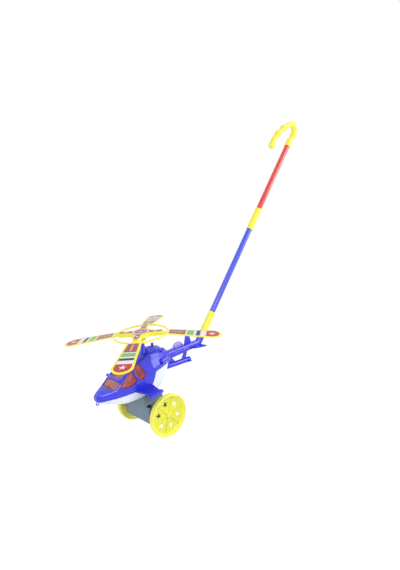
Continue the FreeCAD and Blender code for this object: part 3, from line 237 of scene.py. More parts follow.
# Bands on a blade's label, as (where the band ends along the blade, its colour), from the root out.
BANDS = [(84.0, DUSTY_RED), (87.0, LABEL_WHITE), (99.0, LABEL_GREEN), (103.6, LABEL_WHITE),
         (111.0, LABEL_NAVY), (121.8, LABEL_WHITE), (400.0, TIP_RED)]
LABEL_STAR_PLACE = 132.4
LABEL_STAR_REACH = 7.4
LOZENGES_FROM = 57.0
LOZENGE_PITCH = 4.6

# Eight-sided rings on the hub's label, as (from, to, colour), measured square to a side.
HUB_RINGS = [(0.0, 1.8, LABEL_WHITE), (3.2, 4.4, PALE_PINK), (6.0, 7.2, linear(120, 52, 62)),
             (8.4, 9.4, PALE_PINK), (12.4, 15.6, LABEL_WHITE)]


def star_field(along, across, reach):
    """1 inside a five-pointed star: a point is inside while it lies inside at least four of the
    star's five long edges, each a straight line at a set distance from the middle."""
    inside_edges = None
    for n in range(5):
        turn = 2.0 * math.pi * n / 5.0
        edge = along * math.cos(turn) + across * math.sin(turn) > -0.31 * reach
        inside_edges = edge if inside_edges is None else inside_edges + edge
    return inside_edges > 3.5


def printed(finish, colour):
    """Label stock: the printed colour with a dulling haze of fine specks and a thin clear coat."""
    speck = finish.noise(500.0, 3.0, 0.5).step(0.42, 0.62)
    drift = finish.noise(40.0, 2.0).step(0.3, 0.7)
    haze = finish.blend(speck * 0.04, colour, LABEL_WHITE)
    finish.feed("Base Color", finish.blend(drift * 0.05, haze, linear(90, 90, 100)))
    finish.feed("Roughness", finish.noise(300.0, 3.0) * 0.10 + 0.18)
    finish.bump(finish.noise(160.0, 3.0), 0.012, 0.0002)
    return finish.material


def label_place(finish):
    """Distance along the arm and across it, both in millimetres, stored on the label's mesh."""
    held = finish.node("ShaderNodeAttribute", {"attribute_name": "label_mm"}, {}, "Vector")
    parts = finish.node("ShaderNodeSeparateXYZ", {}, {0: held})
    across = Field(finish, parts.socket.node.outputs[1])
    return parts, across


def blade_print():
    """The blade label: bands across the blade, a row of pale lozenges on the first, a star at the tip."""
    finish = Finish("blade_label_print", Coat_Weight=0.1, Coat_Roughness=0.1, Specular_IOR_Level=0.3)
    along, across = label_place(finish)
    colour = BANDS[0][1]
    for (edge, _), (_, shade) in zip(BANDS, BANDS[1:]):
        share = along.step(edge - 0.18, edge + 0.18)
        colour = finish.blend(share, colour, shade)
    cell = (along - LOZENGES_FROM).maths("PINGPONG", LOZENGE_PITCH / 2)
    lozenge = cell / 1.75 + across.maths("ABSOLUTE") / 3.1 < 1.0
    lozenge = lozenge * (along > LOZENGES_FROM + 0.2) * (along < 79.8)
    colour = finish.blend(lozenge, colour, PALE_PINK)
    star = star_field(along - LABEL_STAR_PLACE, across, LABEL_STAR_REACH)
    colour = finish.blend(star, colour, LABEL_WHITE)
    return printed(finish, colour)


def hub_print():
    """The hub label: a dusty red ground, a white eight-sided ring round nested smaller rings, and a
    pale spot on each arm."""
    finish = Finish("hub_label_print", Coat_Weight=0.1, Coat_Roughness=0.1, Specular_IOR_Level=0.3)
    along, across = label_place(finish)
    wide = along.maths("ABSOLUTE")
    deep = across.maths("ABSOLUTE")
    square = wide.maths("MAXIMUM", deep)
    eight = square.maths("MAXIMUM", (wide + deep) * math.sqrt(0.5))
    colour = DUSTY_RED
    for low, high, shade in HUB_RINGS:
        colour = finish.blend((eight > low) * (eight < high), colour, shade)
    thin = wide.maths("MINIMUM", deep)
    spot = (square - 27.5) * (square - 27.5) / 12.0 + thin * thin / 3.0 < 1.0
    return printed(finish, finish.blend(spot, colour, LABEL_WHITE))


BLADE_PRINT = blade_print()
HUB_PRINT = hub_print()

# ---------------------------------------------------------------------------------------------
# Surfaces
# ---------------------------------------------------------------------------------------------


def grid_faces(rows, columns, wrap_rows=False, wrap_columns=False):
    """Four-cornered faces between neighbouring points of a grid numbered row by row."""
    row = np.arange(rows if wrap_rows else rows - 1)
    column = np.arange(columns if wrap_columns else columns - 1)
    row, column = np.meshgrid(row, column, indexing="ij")
    below = (row + 1) % rows
    right = (column + 1) % columns
    above, under = row * columns, below * columns
    corners = [above + column, above + right, under + right, under + column]
    return np.stack(corners, -1).reshape(-1, 4)


def outward(points, groups):
    """The faces turned round if their signed volume says that they point inwards."""
    volume = 0.0
    for faces in groups:
        fan = points[faces]
        for k in range(1, faces.shape[1] - 1):
            volume += np.einsum("ij,ij->", fan[:, 0], np.cross(fan[:, k], fan[:, k + 1]))
    return [faces[:, ::-1] for faces in groups] if volume < 0 else groups


def tube(grid, wrap_rows=False, caps=True):
    """A closed surface from a grid whose columns go right round: flat faces close its two ends."""
    rows, columns = grid.shape[:2]
    points = grid.reshape(-1, 3)
    groups = [grid_faces(rows, columns, wrap_rows, True)]
    if caps and not wrap_rows:
        groups.append(np.arange(columns)[None, ::-1])
        groups.append((rows - 1) * columns + np.arange(columns)[None, :])
    return points, outward(points, groups)


def rounded(corners, radius, steps=5, closed=True):
    """An outline with each corner replaced by a short curve: a quadratic blend of the corner and two
    points on its sides, at most radius away and never past 0.45 of a side.  Leading axes are kept."""
    before = np.roll(corners, 1, axis=-2)
    after = np.roll(corners, -1, axis=-2)
    to_before = before - corners
    to_after = after - corners
    side_before = np.linalg.norm(to_before, axis=-1, keepdims=True) + 1e-9
    side_after = np.linalg.norm(to_after, axis=-1, keepdims=True) + 1e-9
    cut = np.minimum(np.asarray(radius, float), 0.45 * np.minimum(side_before, side_after))
    if not closed:
        cut[..., 0, :] = 0.0
        cut[..., -1, :] = 0.0
    start = corners + to_before / side_before * cut
    end = corners + to_after / side_after * cut
    share = np.linspace(0.0, 1.0, steps)[:, None]
    curve = ((1 - share) ** 2 * start[..., None, :] + 2 * share * (1 - share) * corners[..., None, :]
             + share ** 2 * end[..., None, :])
    if not closed:
        first = corners[..., :1, :]
        last = corners[..., -1:, :]
        middle = curve[..., 1:-1, :, :]
        flat = middle.reshape(*middle.shape[:-3], -1, middle.shape[-1])
        return np.concatenate([first, flat, last], axis=-2)
    return curve.reshape(*curve.shape[:-3], -1, curve.shape[-1])


def spread(path_points, counts):
    """Each straight run of a path split into a set number of steps; leading axes are kept."""
    runs = []
    for k, count in enumerate(counts):
        share = np.linspace(0, 1, count, endpoint=False)[:, None]
        start, end = path_points[..., k:k + 1, :], path_points[..., k + 1:k + 2, :]
        runs.append(start + share * (end - start))
    runs.append(path_points[..., -1:, :])
    return np.concatenate(runs, axis=-2)


def dense(outline, count):
    """A closed outline with each side split into a set number of steps."""
    return spread(np.concatenate([outline, outline[:1]]), [count] * len(outline))[:-1]


def turned(profile, origin, axis, count=96):
    """A profile of (distance along an axis, radius) carried once round that axis from an origin."""
    profile = np.asarray(profile, float)
    axis = np.asarray(axis, float) / np.linalg.norm(axis)
    helper = np.array([1.0, 0.0, 0.0]) if abs(axis[0]) < 0.9 else np.array([0.0, 1.0, 0.0])
    side = np.cross(axis, helper)
    side /= np.linalg.norm(side)
    other = np.cross(axis, side)
    angle = np.linspace(0, 2 * np.pi, count, endpoint=False)
    round_way = np.cos(angle)[:, None] * side + np.sin(angle)[:, None] * other
    return (np.asarray(origin, float) + profile[:, None, :1] * axis + profile[:, None, 1:] * round_way)


def lathe(profile, origin, axis, count=96, radius=0.6, steps=4):
    """A turned solid whose profile is a closed outline with rounded corners."""
    outline = rounded(np.asarray(profile, float), radius, steps)
    return tube(turned(outline, origin, axis, count), wrap_rows=True)


def swept(path, radius, count=20, round_start=True, round_end=True):
    """A round bar along a path of points, its radius a number or one per point, with domed ends.
    Each ring stands square to the path and starts from the same side, so the bar doesn't twist."""
    path = np.asarray(path, float)
    radius = np.broadcast_to(np.asarray(radius, float), len(path)).copy()
    way = np.gradient(path, axis=0)
    way /= np.linalg.norm(way, axis=1, keepdims=True)
    dome = np.linspace(0, np.pi / 2, 6)[1:]
    if round_end:
        path = np.vstack([path, path[-1] + np.sin(dome)[:, None] * radius[-1] * way[-1]])
        way = np.vstack([way, np.repeat(way[-1:], len(dome), 0)])
        radius = np.concatenate([radius, radius[-1] * np.cos(dome)])
    if round_start:
        path = np.vstack([(path[0] - np.sin(dome)[:, None] * radius[0] * way[0])[::-1], path])
        way = np.vstack([np.repeat(way[:1], len(dome), 0), way])
        radius = np.concatenate([(radius[0] * np.cos(dome))[::-1], radius])
    helper = np.array([1.0, 0.0, 0.0]) if abs(way[0][0]) < 0.8 else np.array([0.0, 0.0, 1.0])
    side = np.cross(np.cross(way, helper), way)
    side /= np.linalg.norm(side, axis=1, keepdims=True)
    other = np.cross(way, side)
    angle = np.linspace(0, 2 * np.pi, count, endpoint=False)
    ring = np.cos(angle)[None, :, None] * side[:, None] + np.sin(angle)[None, :, None] * other[:, None]
    return tube(path[:, None] + np.maximum(radius, 1e-4)[:, None, None] * ring)


def slab(outline, low, high, edge=0.5, steps=3):
    """A plate between two heights: the outline, drawn in by edge at its top and bottom rims."""
    outline = np.asarray(outline, float)
    centre = outline.mean(0)
    span = np.abs(outline - centre).max()
    bend = np.linspace(0, np.pi / 2, steps + 1)
    inset = edge * (1 - np.sin(bend))
    rise = edge * (1 - np.cos(bend))
    heights = np.concatenate([low + rise, (high - rise)[::-1]])
    insets = np.concatenate([inset, inset[::-1]])
    shrink = 1 - insets / span
    flat = centre + (outline - centre) * shrink[:, None, None]
    height = np.broadcast_to(heights[:, None, None], (*flat.shape[:2], 1))
    return np.concatenate([flat, height], axis=2)


def joined(surfaces):
    """Several closed surfaces as one set of points and faces."""
    points, groups, start = [], [], 0
    for part_points, part_groups in surfaces:
        points.append(part_points)
        groups += [faces + start for faces in part_groups]
        start += len(part_points)
    return np.concatenate(points), groups


def mirrored(surface):
    """The same surface on the toy's other side, its faces turned so that they still point outwards."""
    points, groups = surface
    return points * np.array([-1.0, 1.0, 1.0]), [faces[:, ::-1] for faces in groups]


def piece(name, surface, material, body, replaces=(), crease=32.0, weld=True, labels=None):
    """Puts a surface in the scene as one object that rides on a body of the frame."""
    points, groups = surface
    mesh = bpy.data.meshes.new(name)
    mesh.vertices.add(len(points))
    mesh.vertices.foreach_set("co", (points * MM).astype(np.float32).ravel())
    sizes = np.concatenate([np.full(len(faces), faces.shape[1]) for faces in groups])
    mesh.loops.add(int(sizes.sum()))
    indices = np.concatenate([faces.ravel() for faces in groups])
    mesh.loops.foreach_set("vertex_index", indices.astype(np.int32))
    mesh.polygons.add(len(sizes))
    mesh.polygons.foreach_set("loop_start", np.concatenate([[0], np.cumsum(sizes)[:-1]]).astype(np.int32))
    mesh.update(calc_edges=True)
    if labels is not None:
        held = mesh.attributes.new("label_mm", "FLOAT_VECTOR", "POINT")
        held.data.foreach_set("vector", np.ascontiguousarray(labels, np.float32).ravel())
    mesh.validate()
    if weld:
        work = bmesh.new()
        work.from_mesh(mesh)
        bmesh.ops.remove_doubles(work, verts=work.verts, dist=2e-6)
        work.to_mesh(mesh)
        work.free()
    mesh.shade_smooth()
    mesh.set_sharp_from_angle(angle=math.radians(crease))
    mesh.materials.append(material)
    made = bpy.data.objects.new(name, mesh)
    bpy.context.scene.collection.objects.link(made)
    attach(made, body)
    if replaces:
        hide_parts(*replaces)
    return made


def dress(node, material):
    """Gives a node of the frame its finish."""
    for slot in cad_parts[node].material_slots:
        slot.material = material


# ---------------------------------------------------------------------------------------------
# Wheels
# ---------------------------------------------------------------------------------------------
AXLE_Z = 8.0
WHEEL_OUT = 57.4
WHEEL_IN = WHEEL_OUT - 10.8
WHEEL_RADIUS = 40.0
WEB_OUT = WHEEL_OUT - 5.4
WEB_IN = WEB_OUT - 2.0
WEB_FROM = 9.0
WEB_TO = 33.4
STAR_CIRCLE = 22.7
STAR_REACH = 7.3
STAR_FIRST = math.radians(100.0)


def wheel_web():
    """The wheel's web: six sectors, each a grid from the sector's border to the star's edge on the
    outer face, through the star and back to the border on the inner face.  Rays leave the star's
    middle at set angles; along a ray, a sector is a rectangle of arc length by radius."""
    half = STAR_CIRCLE * math.pi / 6
    up = WEB_TO - STAR_CIRCLE
    down = STAR_CIRCLE - WEB_FROM
    ray = np.concatenate([np.linspace(0, 2 * np.pi, 80, endpoint=False), np.arange(10) * np.pi / 5,
                          [math.atan2(half, up), math.atan2(-half, up), math.atan2(half, -down),
                           math.atan2(-half, -down)]])
    ray = np.unique(np.round(np.mod(ray, 2 * np.pi), 6))
    radial = np.cos(ray)
    sideways = np.sin(ray)
    reach = np.minimum(np.where(radial > 0, up, down) / np.maximum(np.abs(radial), 1e-9),
                       half / np.maximum(np.abs(sideways), 1e-9))
    notch = 0.39 * STAR_REACH
    part = np.pi / 5
    turn = np.mod(ray, 2 * part)
    turn = np.minimum(turn, 2 * part - turn)
    edge_x = notch * math.cos(part) - STAR_REACH
    edge_y = notch * math.sin(part)
    star = -STAR_REACH * edge_y / (edge_x * np.sin(turn) - edge_y * np.cos(turn))
    share = np.array([1.0, 0.55, 0.2, 0.045, 0.0, 0.0, 0.045, 0.2, 0.55, 1.0])
    edge = [WEB_OUT - 0.05, WEB_OUT - 0.35, WEB_IN + 0.35, WEB_IN + 0.05]
    depth = np.array([WEB_OUT] * 3 + edge + [WEB_IN] * 3)
    length = star + share[:, None] * (reach - star)
    arc = length * sideways
    radius = STAR_CIRCLE + length * radial
    surfaces = []
    for n in range(6):
        angle = STAR_FIRST - n * np.pi / 3 + arc / STAR_CIRCLE
        grid = np.stack([np.broadcast_to(depth[:, None], angle.shape), radius * np.cos(angle),
                         radius * np.sin(angle)], axis=-1)
        surfaces.append((grid.reshape(-1, 3), [grid_faces(*grid.shape[:2], False, True)[:, ::-1]]))
    on_rim = arc[0][np.abs(radius[0] - WEB_TO) < 1e-6] / STAR_CIRCLE
    border = np.concatenate([STAR_FIRST - n * np.pi / 3 + on_rim for n in range(6)])
    return surfaces, np.unique(np.round(border, 6))


def rim_ring(profile, angles, turned_over=False):
    """A profile of (outwards, radius) carried round the axle through a set list of angles."""
    profile = np.asarray(profile, float)
    grid = np.stack([np.broadcast_to(profile[:, None, 0], (len(profile), len(angles))),
                     profile[:, 1:] * np.cos(angles), profile[:, 1:] * np.sin(angles)], axis=-1)
    faces = grid_faces(len(profile), len(angles), False, True)
    return grid.reshape(-1, 3), [faces[:, ::-1] if turned_over else faces]


def wheel(side):
    """A dished wheel: a rolled rim, a thin web with six star openings, six ribs and a capped hub."""
    web, angles = wheel_web()
    rim = rounded(np.array([
        [WEB_OUT, WEB_TO], [WEB_OUT + 0.3, 36.2], [WHEEL_OUT - 0.2, 37.4], [WHEEL_OUT, 38.6],
        [WHEEL_OUT - 0.9, WHEEL_RADIUS - 0.1], [WHEEL_OUT - 2.2, WHEEL_RADIUS],
        [WHEEL_IN + 1.0, WHEEL_RADIUS], [WHEEL_IN, WHEEL_RADIUS - 1.2], [WHEEL_IN, 37.6],
        [WEB_IN - 0.2, 36.4], [WEB_IN, WEB_TO]]), 1.4, 6, closed=False)
    hub_out = rounded(np.array([
        [WEB_OUT, WEB_FROM], [WEB_OUT + 0.2, 5.6], [WHEEL_OUT - 2.6, 4.6], [WHEEL_OUT - 2.0, 3.2],
        [WHEEL_OUT - 2.0, 0.001]]), 1.2, 5, closed=False)
    hub_in = rounded(np.array([
        [WEB_IN, WEB_FROM], [WEB_IN - 0.4, 6.1], [WHEEL_IN - 2.7, 5.8], [WHEEL_IN - 3.0, 5.0],
        [WHEEL_IN - 3.0, 2.02], [WHEEL_IN + 4.0, 2.0]]), 0.7, 4, closed=False)
    even = np.linspace(0, 2 * np.pi, 96, endpoint=False)
    surfaces = web + [rim_ring(rim, np.sort(angles), True), rim_ring(hub_out, even),
                      rim_ring(hub_in, even, True)]
    for n in range(6):
        angle = STAR_FIRST + math.pi / 6 - n * math.pi / 3
        radius = np.linspace(3.6, 36.4, 24)
        height = 1.7 * np.ones(24)
        height[-3:] = [1.5, 1.2, 0.8]
        cross = np.array([[-0.9, -0.3], [-0.72, 0.55], [-0.42, 0.95], [0.0, 1.0], [0.42, 0.95], [0.72, 0.55],
                          [0.9, -0.3]])
        out = WEB_OUT + cross[None, :, 1] * height[:, None]
        across = np.broadcast_to(cross[None, :, 0], out.shape)
        along = np.broadcast_to(radius[:, None], out.shape)
        grid = np.stack([out, along * math.cos(angle) - across * math.sin(angle),
                         along * math.sin(angle) + across * math.cos(angle)], axis=-1)
        surfaces.append(tube(grid))
    points, groups = joined(surfaces)
    surface = (points + np.array([0.0, 0.0, AXLE_Z]), groups)
    return surface if side > 0 else mirrored(surface)


for side, label in ((1, "left"), (-1, "right")):
    piece(f"wheel_{label}_moulding", wheel(side), WHEEL_YELLOW_PAINTED_LIGHT, "wheelset",
          [f"wheel_{label}"], crease=40.0)

# ---------------------------------------------------------------------------------------------
# Rotor
# ---------------------------------------------------------------------------------------------
ROTOR_Z = 159.0
RING = 49.7
BLADE_ROOT = RING - 1.0
BLADE_TIP = 150.0
ROOT_HALF = 13.4
TIP_HALF = 18.6
BLADE_THICK = 1.8
DROOP = math.radians(7.06)
FIRST_BLADE = math.radians(-49.8)
HUB_RISE = 2.6
LABEL_BORDER = 4.1
PLATFORM = 20.0
ARM_HALF = 5.4


def blade_half(radius, tip=BLADE_TIP, root_half=ROOT_HALF, tip_half=TIP_HALF):
    """Half the blade's width: a slow straight spread, then a half circle to the tip."""
    shoulder = tip - tip_half
    share = (radius - BLADE_ROOT) / (shoulder - BLADE_ROOT)
    straight = root_half + (tip_half - root_half) * np.clip(share, 0, 1)
    over = np.clip((radius - shoulder) / tip_half, 0, 1)
    return np.where(radius > shoulder, tip_half * np.sqrt(np.maximum(1 - over ** 2, 0)), straight)


def on_blade(radius, across, above, number):
    """Blade coordinates (distance from the mast, across, above the top face) in the toy's frame:
    beyond the ring the blade droops by a set angle."""
    out = RING + (radius - RING) * math.cos(DROOP) + above * math.sin(DROOP)
    z = ROTOR_Z - (radius - RING) * math.sin(DROOP) + above * math.cos(DROOP)
    turn = FIRST_BLADE + number * math.pi / 2
    return np.stack([out * math.cos(turn) - across * math.sin(turn),
                     out * math.sin(turn) + across * math.cos(turn), z], axis=-1)


def blade(number):
    """One blade: a flat lens of a cross-section carried from root to tip, narrowing to a round end."""
    shoulder = BLADE_TIP - TIP_HALF
    end = shoulder + TIP_HALF * np.sin(np.linspace(0, np.pi / 2, 20))
    radius = np.concatenate([np.linspace(BLADE_ROOT, shoulder, 40)[:-1], end])
    half = np.maximum(blade_half(radius), 0.02)
    edge = 0.6
    bend = np.linspace(-np.pi / 2, np.pi / 2, 7)
    rim_out = edge * (np.cos(bend) - 1)
    rim_up = BLADE_THICK / 2 * np.sin(bend)
    across_share = np.concatenate([rim_out, -rim_out[::-1]])
    sign = np.concatenate([np.ones(7), -np.ones(7)])
    up = np.concatenate([rim_up, rim_up[::-1]])
    across = sign * np.maximum(half[:, None] - np.abs(across_share), 0.01)
    above = np.broadcast_to(up - BLADE_THICK / 2, across.shape)
    return tube(on_blade(np.broadcast_to(radius[:, None], across.shape), across, above, number))


def ring_hoop():
    """The hoop: a rounded square section carried round the mast."""
    low, high = ROTOR_Z - 3.0, ROTOR_Z
    return lathe([[low, RING - 1.5], [high, RING - 1.5], [high, RING + 1.5], [low, RING + 1.5]],
                 [0, 0, 0], [0, 0, 1], 160, 0.8, 5)


def spider_arm(number, low, high, near_half, far_half, reach, edge):
    """One arm: a plate seen from above as a long taper, its rims rolled."""
    outline = np.array([[0.0, -near_half], [reach - 1.5, -far_half], [reach, -far_half + 1.5],
                        [reach, far_half - 1.5], [reach - 1.5, far_half], [0.0, near_half]])
    grid = slab(dense(outline, 8), low, high, edge)
    turn = FIRST_BLADE + number * math.pi / 2
    x = grid[..., 0] * math.cos(turn) - grid[..., 1] * math.sin(turn)
    y = grid[..., 0] * math.sin(turn) + grid[..., 1] * math.cos(turn)
    return tube(np.stack([x, y, grid[..., 2]], axis=-1))


def hub_boss():
    """The hub: a stepped boss under the arms that takes the mast."""
    top = ROTOR_Z + HUB_RISE - 0.2
    low = ROTOR_Z - 14.0
    return lathe([[low, 1.62], [low, 7.6], [low + 5.0, 9.0], [top, 9.0], [top, 0.01], [ROTOR_Z - 2.0, 0.01],
                  [ROTOR_Z - 2.0, 1.62]], [0, 0, 0], [0, 0, 1], 64, 0.8)


def eight_sides(radius):
    """The corners of the hub's platform, from the axis of one arm round, a flat facing each arm."""
    angle = np.arange(8) * np.pi / 4 + np.pi / 8
    return radius * np.stack([np.cos(angle), np.sin(angle)], axis=-1)


def facing_blades(grid):
    """Points given as (along the first arm, across it, height) turned to the first blade."""
    x = grid[..., 0] * math.cos(FIRST_BLADE) - grid[..., 1] * math.sin(FIRST_BLADE)
    y = grid[..., 0] * math.sin(FIRST_BLADE) + grid[..., 1] * math.cos(FIRST_BLADE)
    return np.stack([x, y, grid[..., 2]], axis=-1)


def platform():
    """The eight-sided block round the hub, its rims rolled."""
    outline = rounded(eight_sides(PLATFORM), 1.0, 4)
    top = ROTOR_Z + HUB_RISE
    return tube(facing_blades(slab(outline, top - 8.0, top, 0.6)))


rotor_surfaces = [ring_hoop(), hub_boss(), platform()]
for n in range(4):
    hub_top = ROTOR_Z + HUB_RISE
    rotor_surfaces += [
        blade(n),
        spider_arm(n, hub_top - 8.0, hub_top, ARM_HALF + 1.0, ARM_HALF, RING - 8.0, 0.6),
        spider_arm(n, ROTOR_Z - 3.0, ROTOR_Z - 0.02, ARM_HALF, ARM_HALF, RING, 0.4)]
piece("rotor_moulding", joined(rotor_surfaces), YELLOW, "rotor", ["rotor"], crease=40.0)

LABEL_FROM = RING + LABEL_BORDER


def blade_label(number):
    """A label's top: a thin sheet inside the blade's border, dished over at its rim."""
    tip = BLADE_TIP - LABEL_BORDER
    root_half = ROOT_HALF - LABEL_BORDER
    tip_half = TIP_HALF - LABEL_BORDER
    shoulder = tip - tip_half
    end = shoulder + tip_half * np.sin(np.linspace(0, np.pi / 2, 24))
    radius = np.concatenate([np.linspace(LABEL_FROM, shoulder, 60)[:-1], end])
    half = np.maximum(blade_half(radius, tip, root_half, tip_half), 0.02)
    share = np.array([-1.0, -1.0, -0.97, -0.5, 0.0, 0.5, 0.97, 1.0, 1.0])
    above = np.array([-0.25, 0.10, 0.17, 0.17, 0.17, 0.17, 0.17, 0.10, -0.25])
    across = half[:, None] * share
    along = np.broadcast_to(radius[:, None], across.shape)
    above = np.broadcast_to(above, across.shape)
    surface = tube(on_blade(along, across, above, number))
    place = np.stack([along, across, np.zeros_like(across)], axis=-1).reshape(-1, 3)
    return surface, place


labels = [blade_label(n) for n in range(4)]
piece("blade_label_sheets", joined([surface for surface, _ in labels]), BLADE_PRINT, "rotor",
      ["blade_labels"], weld=False, labels=np.concatenate([place for _, place in labels]))


def hub_cross():
    """The hub label: a thin sheet with an eight-sided middle and four arms, drawn to its middle in rings."""
    half = ARM_HALF - 1.1
    flat = (PLATFORM - 1.8) * math.cos(math.pi / 8)
    arm = np.array([[flat, -half - 0.5], [39.2, -half], [40.2, 1.0 - half], [40.2, half - 1.0], [39.2, half],
                    [flat, half + 0.5], [flat, flat * math.tan(math.pi / 8)],
                    [flat * math.tan(math.pi / 8), flat]])
    turn = np.arange(4) * np.pi / 2
    outline = np.concatenate([arm @ np.array([[math.cos(a), math.sin(a)], [-math.sin(a), math.cos(a)]])
                              for a in turn])
    share = np.array([1.0, 1.0, 0.99, 0.6, 0.3, 0.02])
    height = np.array([-0.2, 0.12, 0.17, 0.17, 0.17, 0.17])
    flat = dense(outline, 10)[None] * share[:, None, None]
    z = np.broadcast_to(ROTOR_Z + HUB_RISE + height[:, None], flat.shape[:2])
    place = np.concatenate([flat, np.zeros((*flat.shape[:2], 1))], axis=2)
    return tube(facing_blades(np.concatenate([flat, z[..., None]], axis=2))), place.reshape(-1, 3)


cross_surface, cross_place = hub_cross()
piece("hub_label_sheet", cross_surface, HUB_PRINT, "rotor", ["hub_label"], weld=False,
      labels=cross_place)

# ---------------------------------------------------------------------------------------------
# Stick and handle
# ---------------------------------------------------------------------------------------------
STICK_ANGLE = math.radians(47.4)
STICK_FOOT = np.array([0.0, 158.1, 115.0])
STICK_WAY = np.array([0.0, math.cos(STICK_ANGLE), math.sin(STICK_ANGLE)])
STICK_AHEAD = np.array([0.0, -math.sin(STICK_ANGLE), math.cos(STICK_ANGLE)])
TUBE_RADIUS = 6.25
SLEEVE_RADIUS = 7.7
HANDLE_FROM = 500.0


def on_stick(along, ahead=0.0):
    along = np.asarray(along, float)[..., None]
    ahead = np.asarray(ahead, float)[..., None]
    return STICK_FOOT + STICK_WAY * along + STICK_AHEAD * ahead


def stick_lathe(profile, count=64, radius=0.5):
    return lathe(profile, STICK_FOOT, STICK_WAY, count, radius)


def hollow(start, end, inner, outer):
    return [[start, inner], [start, outer], [end, outer], [end, inner]]


def sleeve(start, end, bore=TUBE_RADIUS):
    """A sleeve with rolled lips at both ends and two faint raised bands."""
    r = SLEEVE_RADIUS
    return stick_lathe([
        [start, bore + 0.03], [start, r - 0.25], [start + 0.8, r], [start + 2.2, r], [start + 2.6, r - 0.22],
        [end - 2.6, r - 0.22], [end - 2.2, r], [end - 0.8, r], [end, r - 0.25], [end, bore + 0.03]], 64, 0.3)


piece("lower_sleeve_moulding", sleeve(-9.0, 43.0), YELLOW, "body", ["lower_sleeve"])
piece("middle_sleeve_moulding", sleeve(256.0, 313.0), YELLOW, "body", ["middle_sleeve"])
piece("lower_tube_drawn", stick_lathe(hollow(25.0, 274.0, 5.3, TUBE_RADIUS)), BLUE_TUBE, "body",
      ["lower_tube"])
piece("upper_tube_drawn", stick_lathe(hollow(295.0, 518.0, 5.3, TUBE_RADIUS)), RED_TUBE, "body",
      ["upper_tube"])

HOOK = np.array([(12.0, 0.0), (24.0, -1.0), (34.0, -3.0), (45.0, -3.0), (54.0, 2.0), (58.0, 11.0),
                 (52.0, 21.0), (37.0, 30.0), (18.0, 39.0), (-6.0, 46.5), (-24.0, 49.3), (-38.0, 47.6)])
SWELLS = np.array([0.155, 0.265, 0.345, 0.60, 0.765, 1.0])


def smooth_path(corners, count):
    """A smooth line through points: a cubic with each point's slope taken from its two neighbours."""
    steps = np.concatenate([[0], np.cumsum(np.linalg.norm(np.diff(corners, axis=0), axis=1))])
    slope = np.gradient(corners, steps, axis=0)
    at = np.linspace(0, steps[-1], count)
    left = np.clip(np.searchsorted(steps, at, side="right") - 1, 0, len(steps) - 2)
    width = steps[left + 1] - steps[left]
    t = ((at - steps[left]) / width)[:, None]
    width = width[:, None]
    return ((2 * t ** 3 - 3 * t ** 2 + 1) * corners[left] + (t ** 3 - 2 * t ** 2 + t) * width * slope[left]
            + (3 * t ** 2 - 2 * t ** 3) * corners[left + 1] + (t ** 3 - t ** 2) * width * slope[left + 1])


def handle():
    """The hook: a round bar along a bent line, swelling between the fingers, and its socket."""
    line = smooth_path(HOOK, 150)
    share = np.linspace(0, 1, len(line))
    swell = np.exp(-((share[:, None] - SWELLS) / 0.034) ** 2).sum(1).clip(0, 1)
    bar = swept(on_stick(HANDLE_FROM + line[:, 0], line[:, 1]), 6.1 + 2.1 * swell, 32, round_start=False)
    start, end = HANDLE_FROM, HANDLE_FROM + 24.0
    r = SLEEVE_RADIUS
    socket = stick_lathe([
        [start, TUBE_RADIUS + 0.03], [start, r - 0.2], [start + 0.7, r], [start + 2.0, r],
        [start + 2.4, r - 0.3],
        [end - 2.0, r - 0.5], [end, r - 2.6], [end, 0.01], [start + 18.0, 0.01],
        [start + 18.0, TUBE_RADIUS + 0.03]],
        64, 0.5)
    return joined([bar, socket])


piece("handle_moulding", handle(), YELLOW, "body", ["handle"], crease=50.0)

# ---------------------------------------------------------------------------------------------
# Body: the shared shape of the upper shell, the windows and the belly
# ---------------------------------------------------------------------------------------------
SEAM = 68.0
NOSE = 112.0
HALF = 31.0
RISE = 55.5
DROP = 21.5
CONE = 54.0
TAIL_FLOOR = SEAM + 20.0
RAKE_FRONT, RAKE_BACK = -8.6, 2.15
ROOF = SEAM + RISE
SHELL = 1.5

# Stations of the upper body: place (shares of the nose's reach ahead of the mast, negated, then of the
# cowl's reach behind it); half width at the seam; half width and height of the belt line; half width
# and height of the roof's edge; height of the roof's ridge.
UPPER = [
    (-1.000, 0.19, 0.22, 0.11, 0.14, 0.190, 0.200), (-0.930, 0.40, 0.43, 0.13, 0.31, 0.230, 0.240),
    (-0.737, 0.72, 0.79, 0.24, 0.69, 0.290, 0.300), (-0.625, 0.84, 0.90, 0.325, 0.69, 0.490, 0.505),
    (-0.571, 0.89, 0.935, 0.33, 0.68, 0.580, 0.600), (-0.430, 0.97, 0.98, 0.335, 0.675, 0.700, 0.740),
    (-0.214, 1.00, 1.00, 0.40, 0.645, 0.845, 0.885), (-0.010, 0.965, 0.955, 0.45, 0.59, 0.945, 0.990),
    (0.37, 0.775, 0.790, 0.50, 0.500, 0.885, 0.985), (0.65, 0.580, 0.600, 0.50, 0.405, 0.785, 0.905),
    (0.85, 0.420, 0.450, 0.49, 0.290, 0.690, 0.770), (1.00, 0.310, 0.340, 0.50, 0.240, 0.640, 0.700),
]
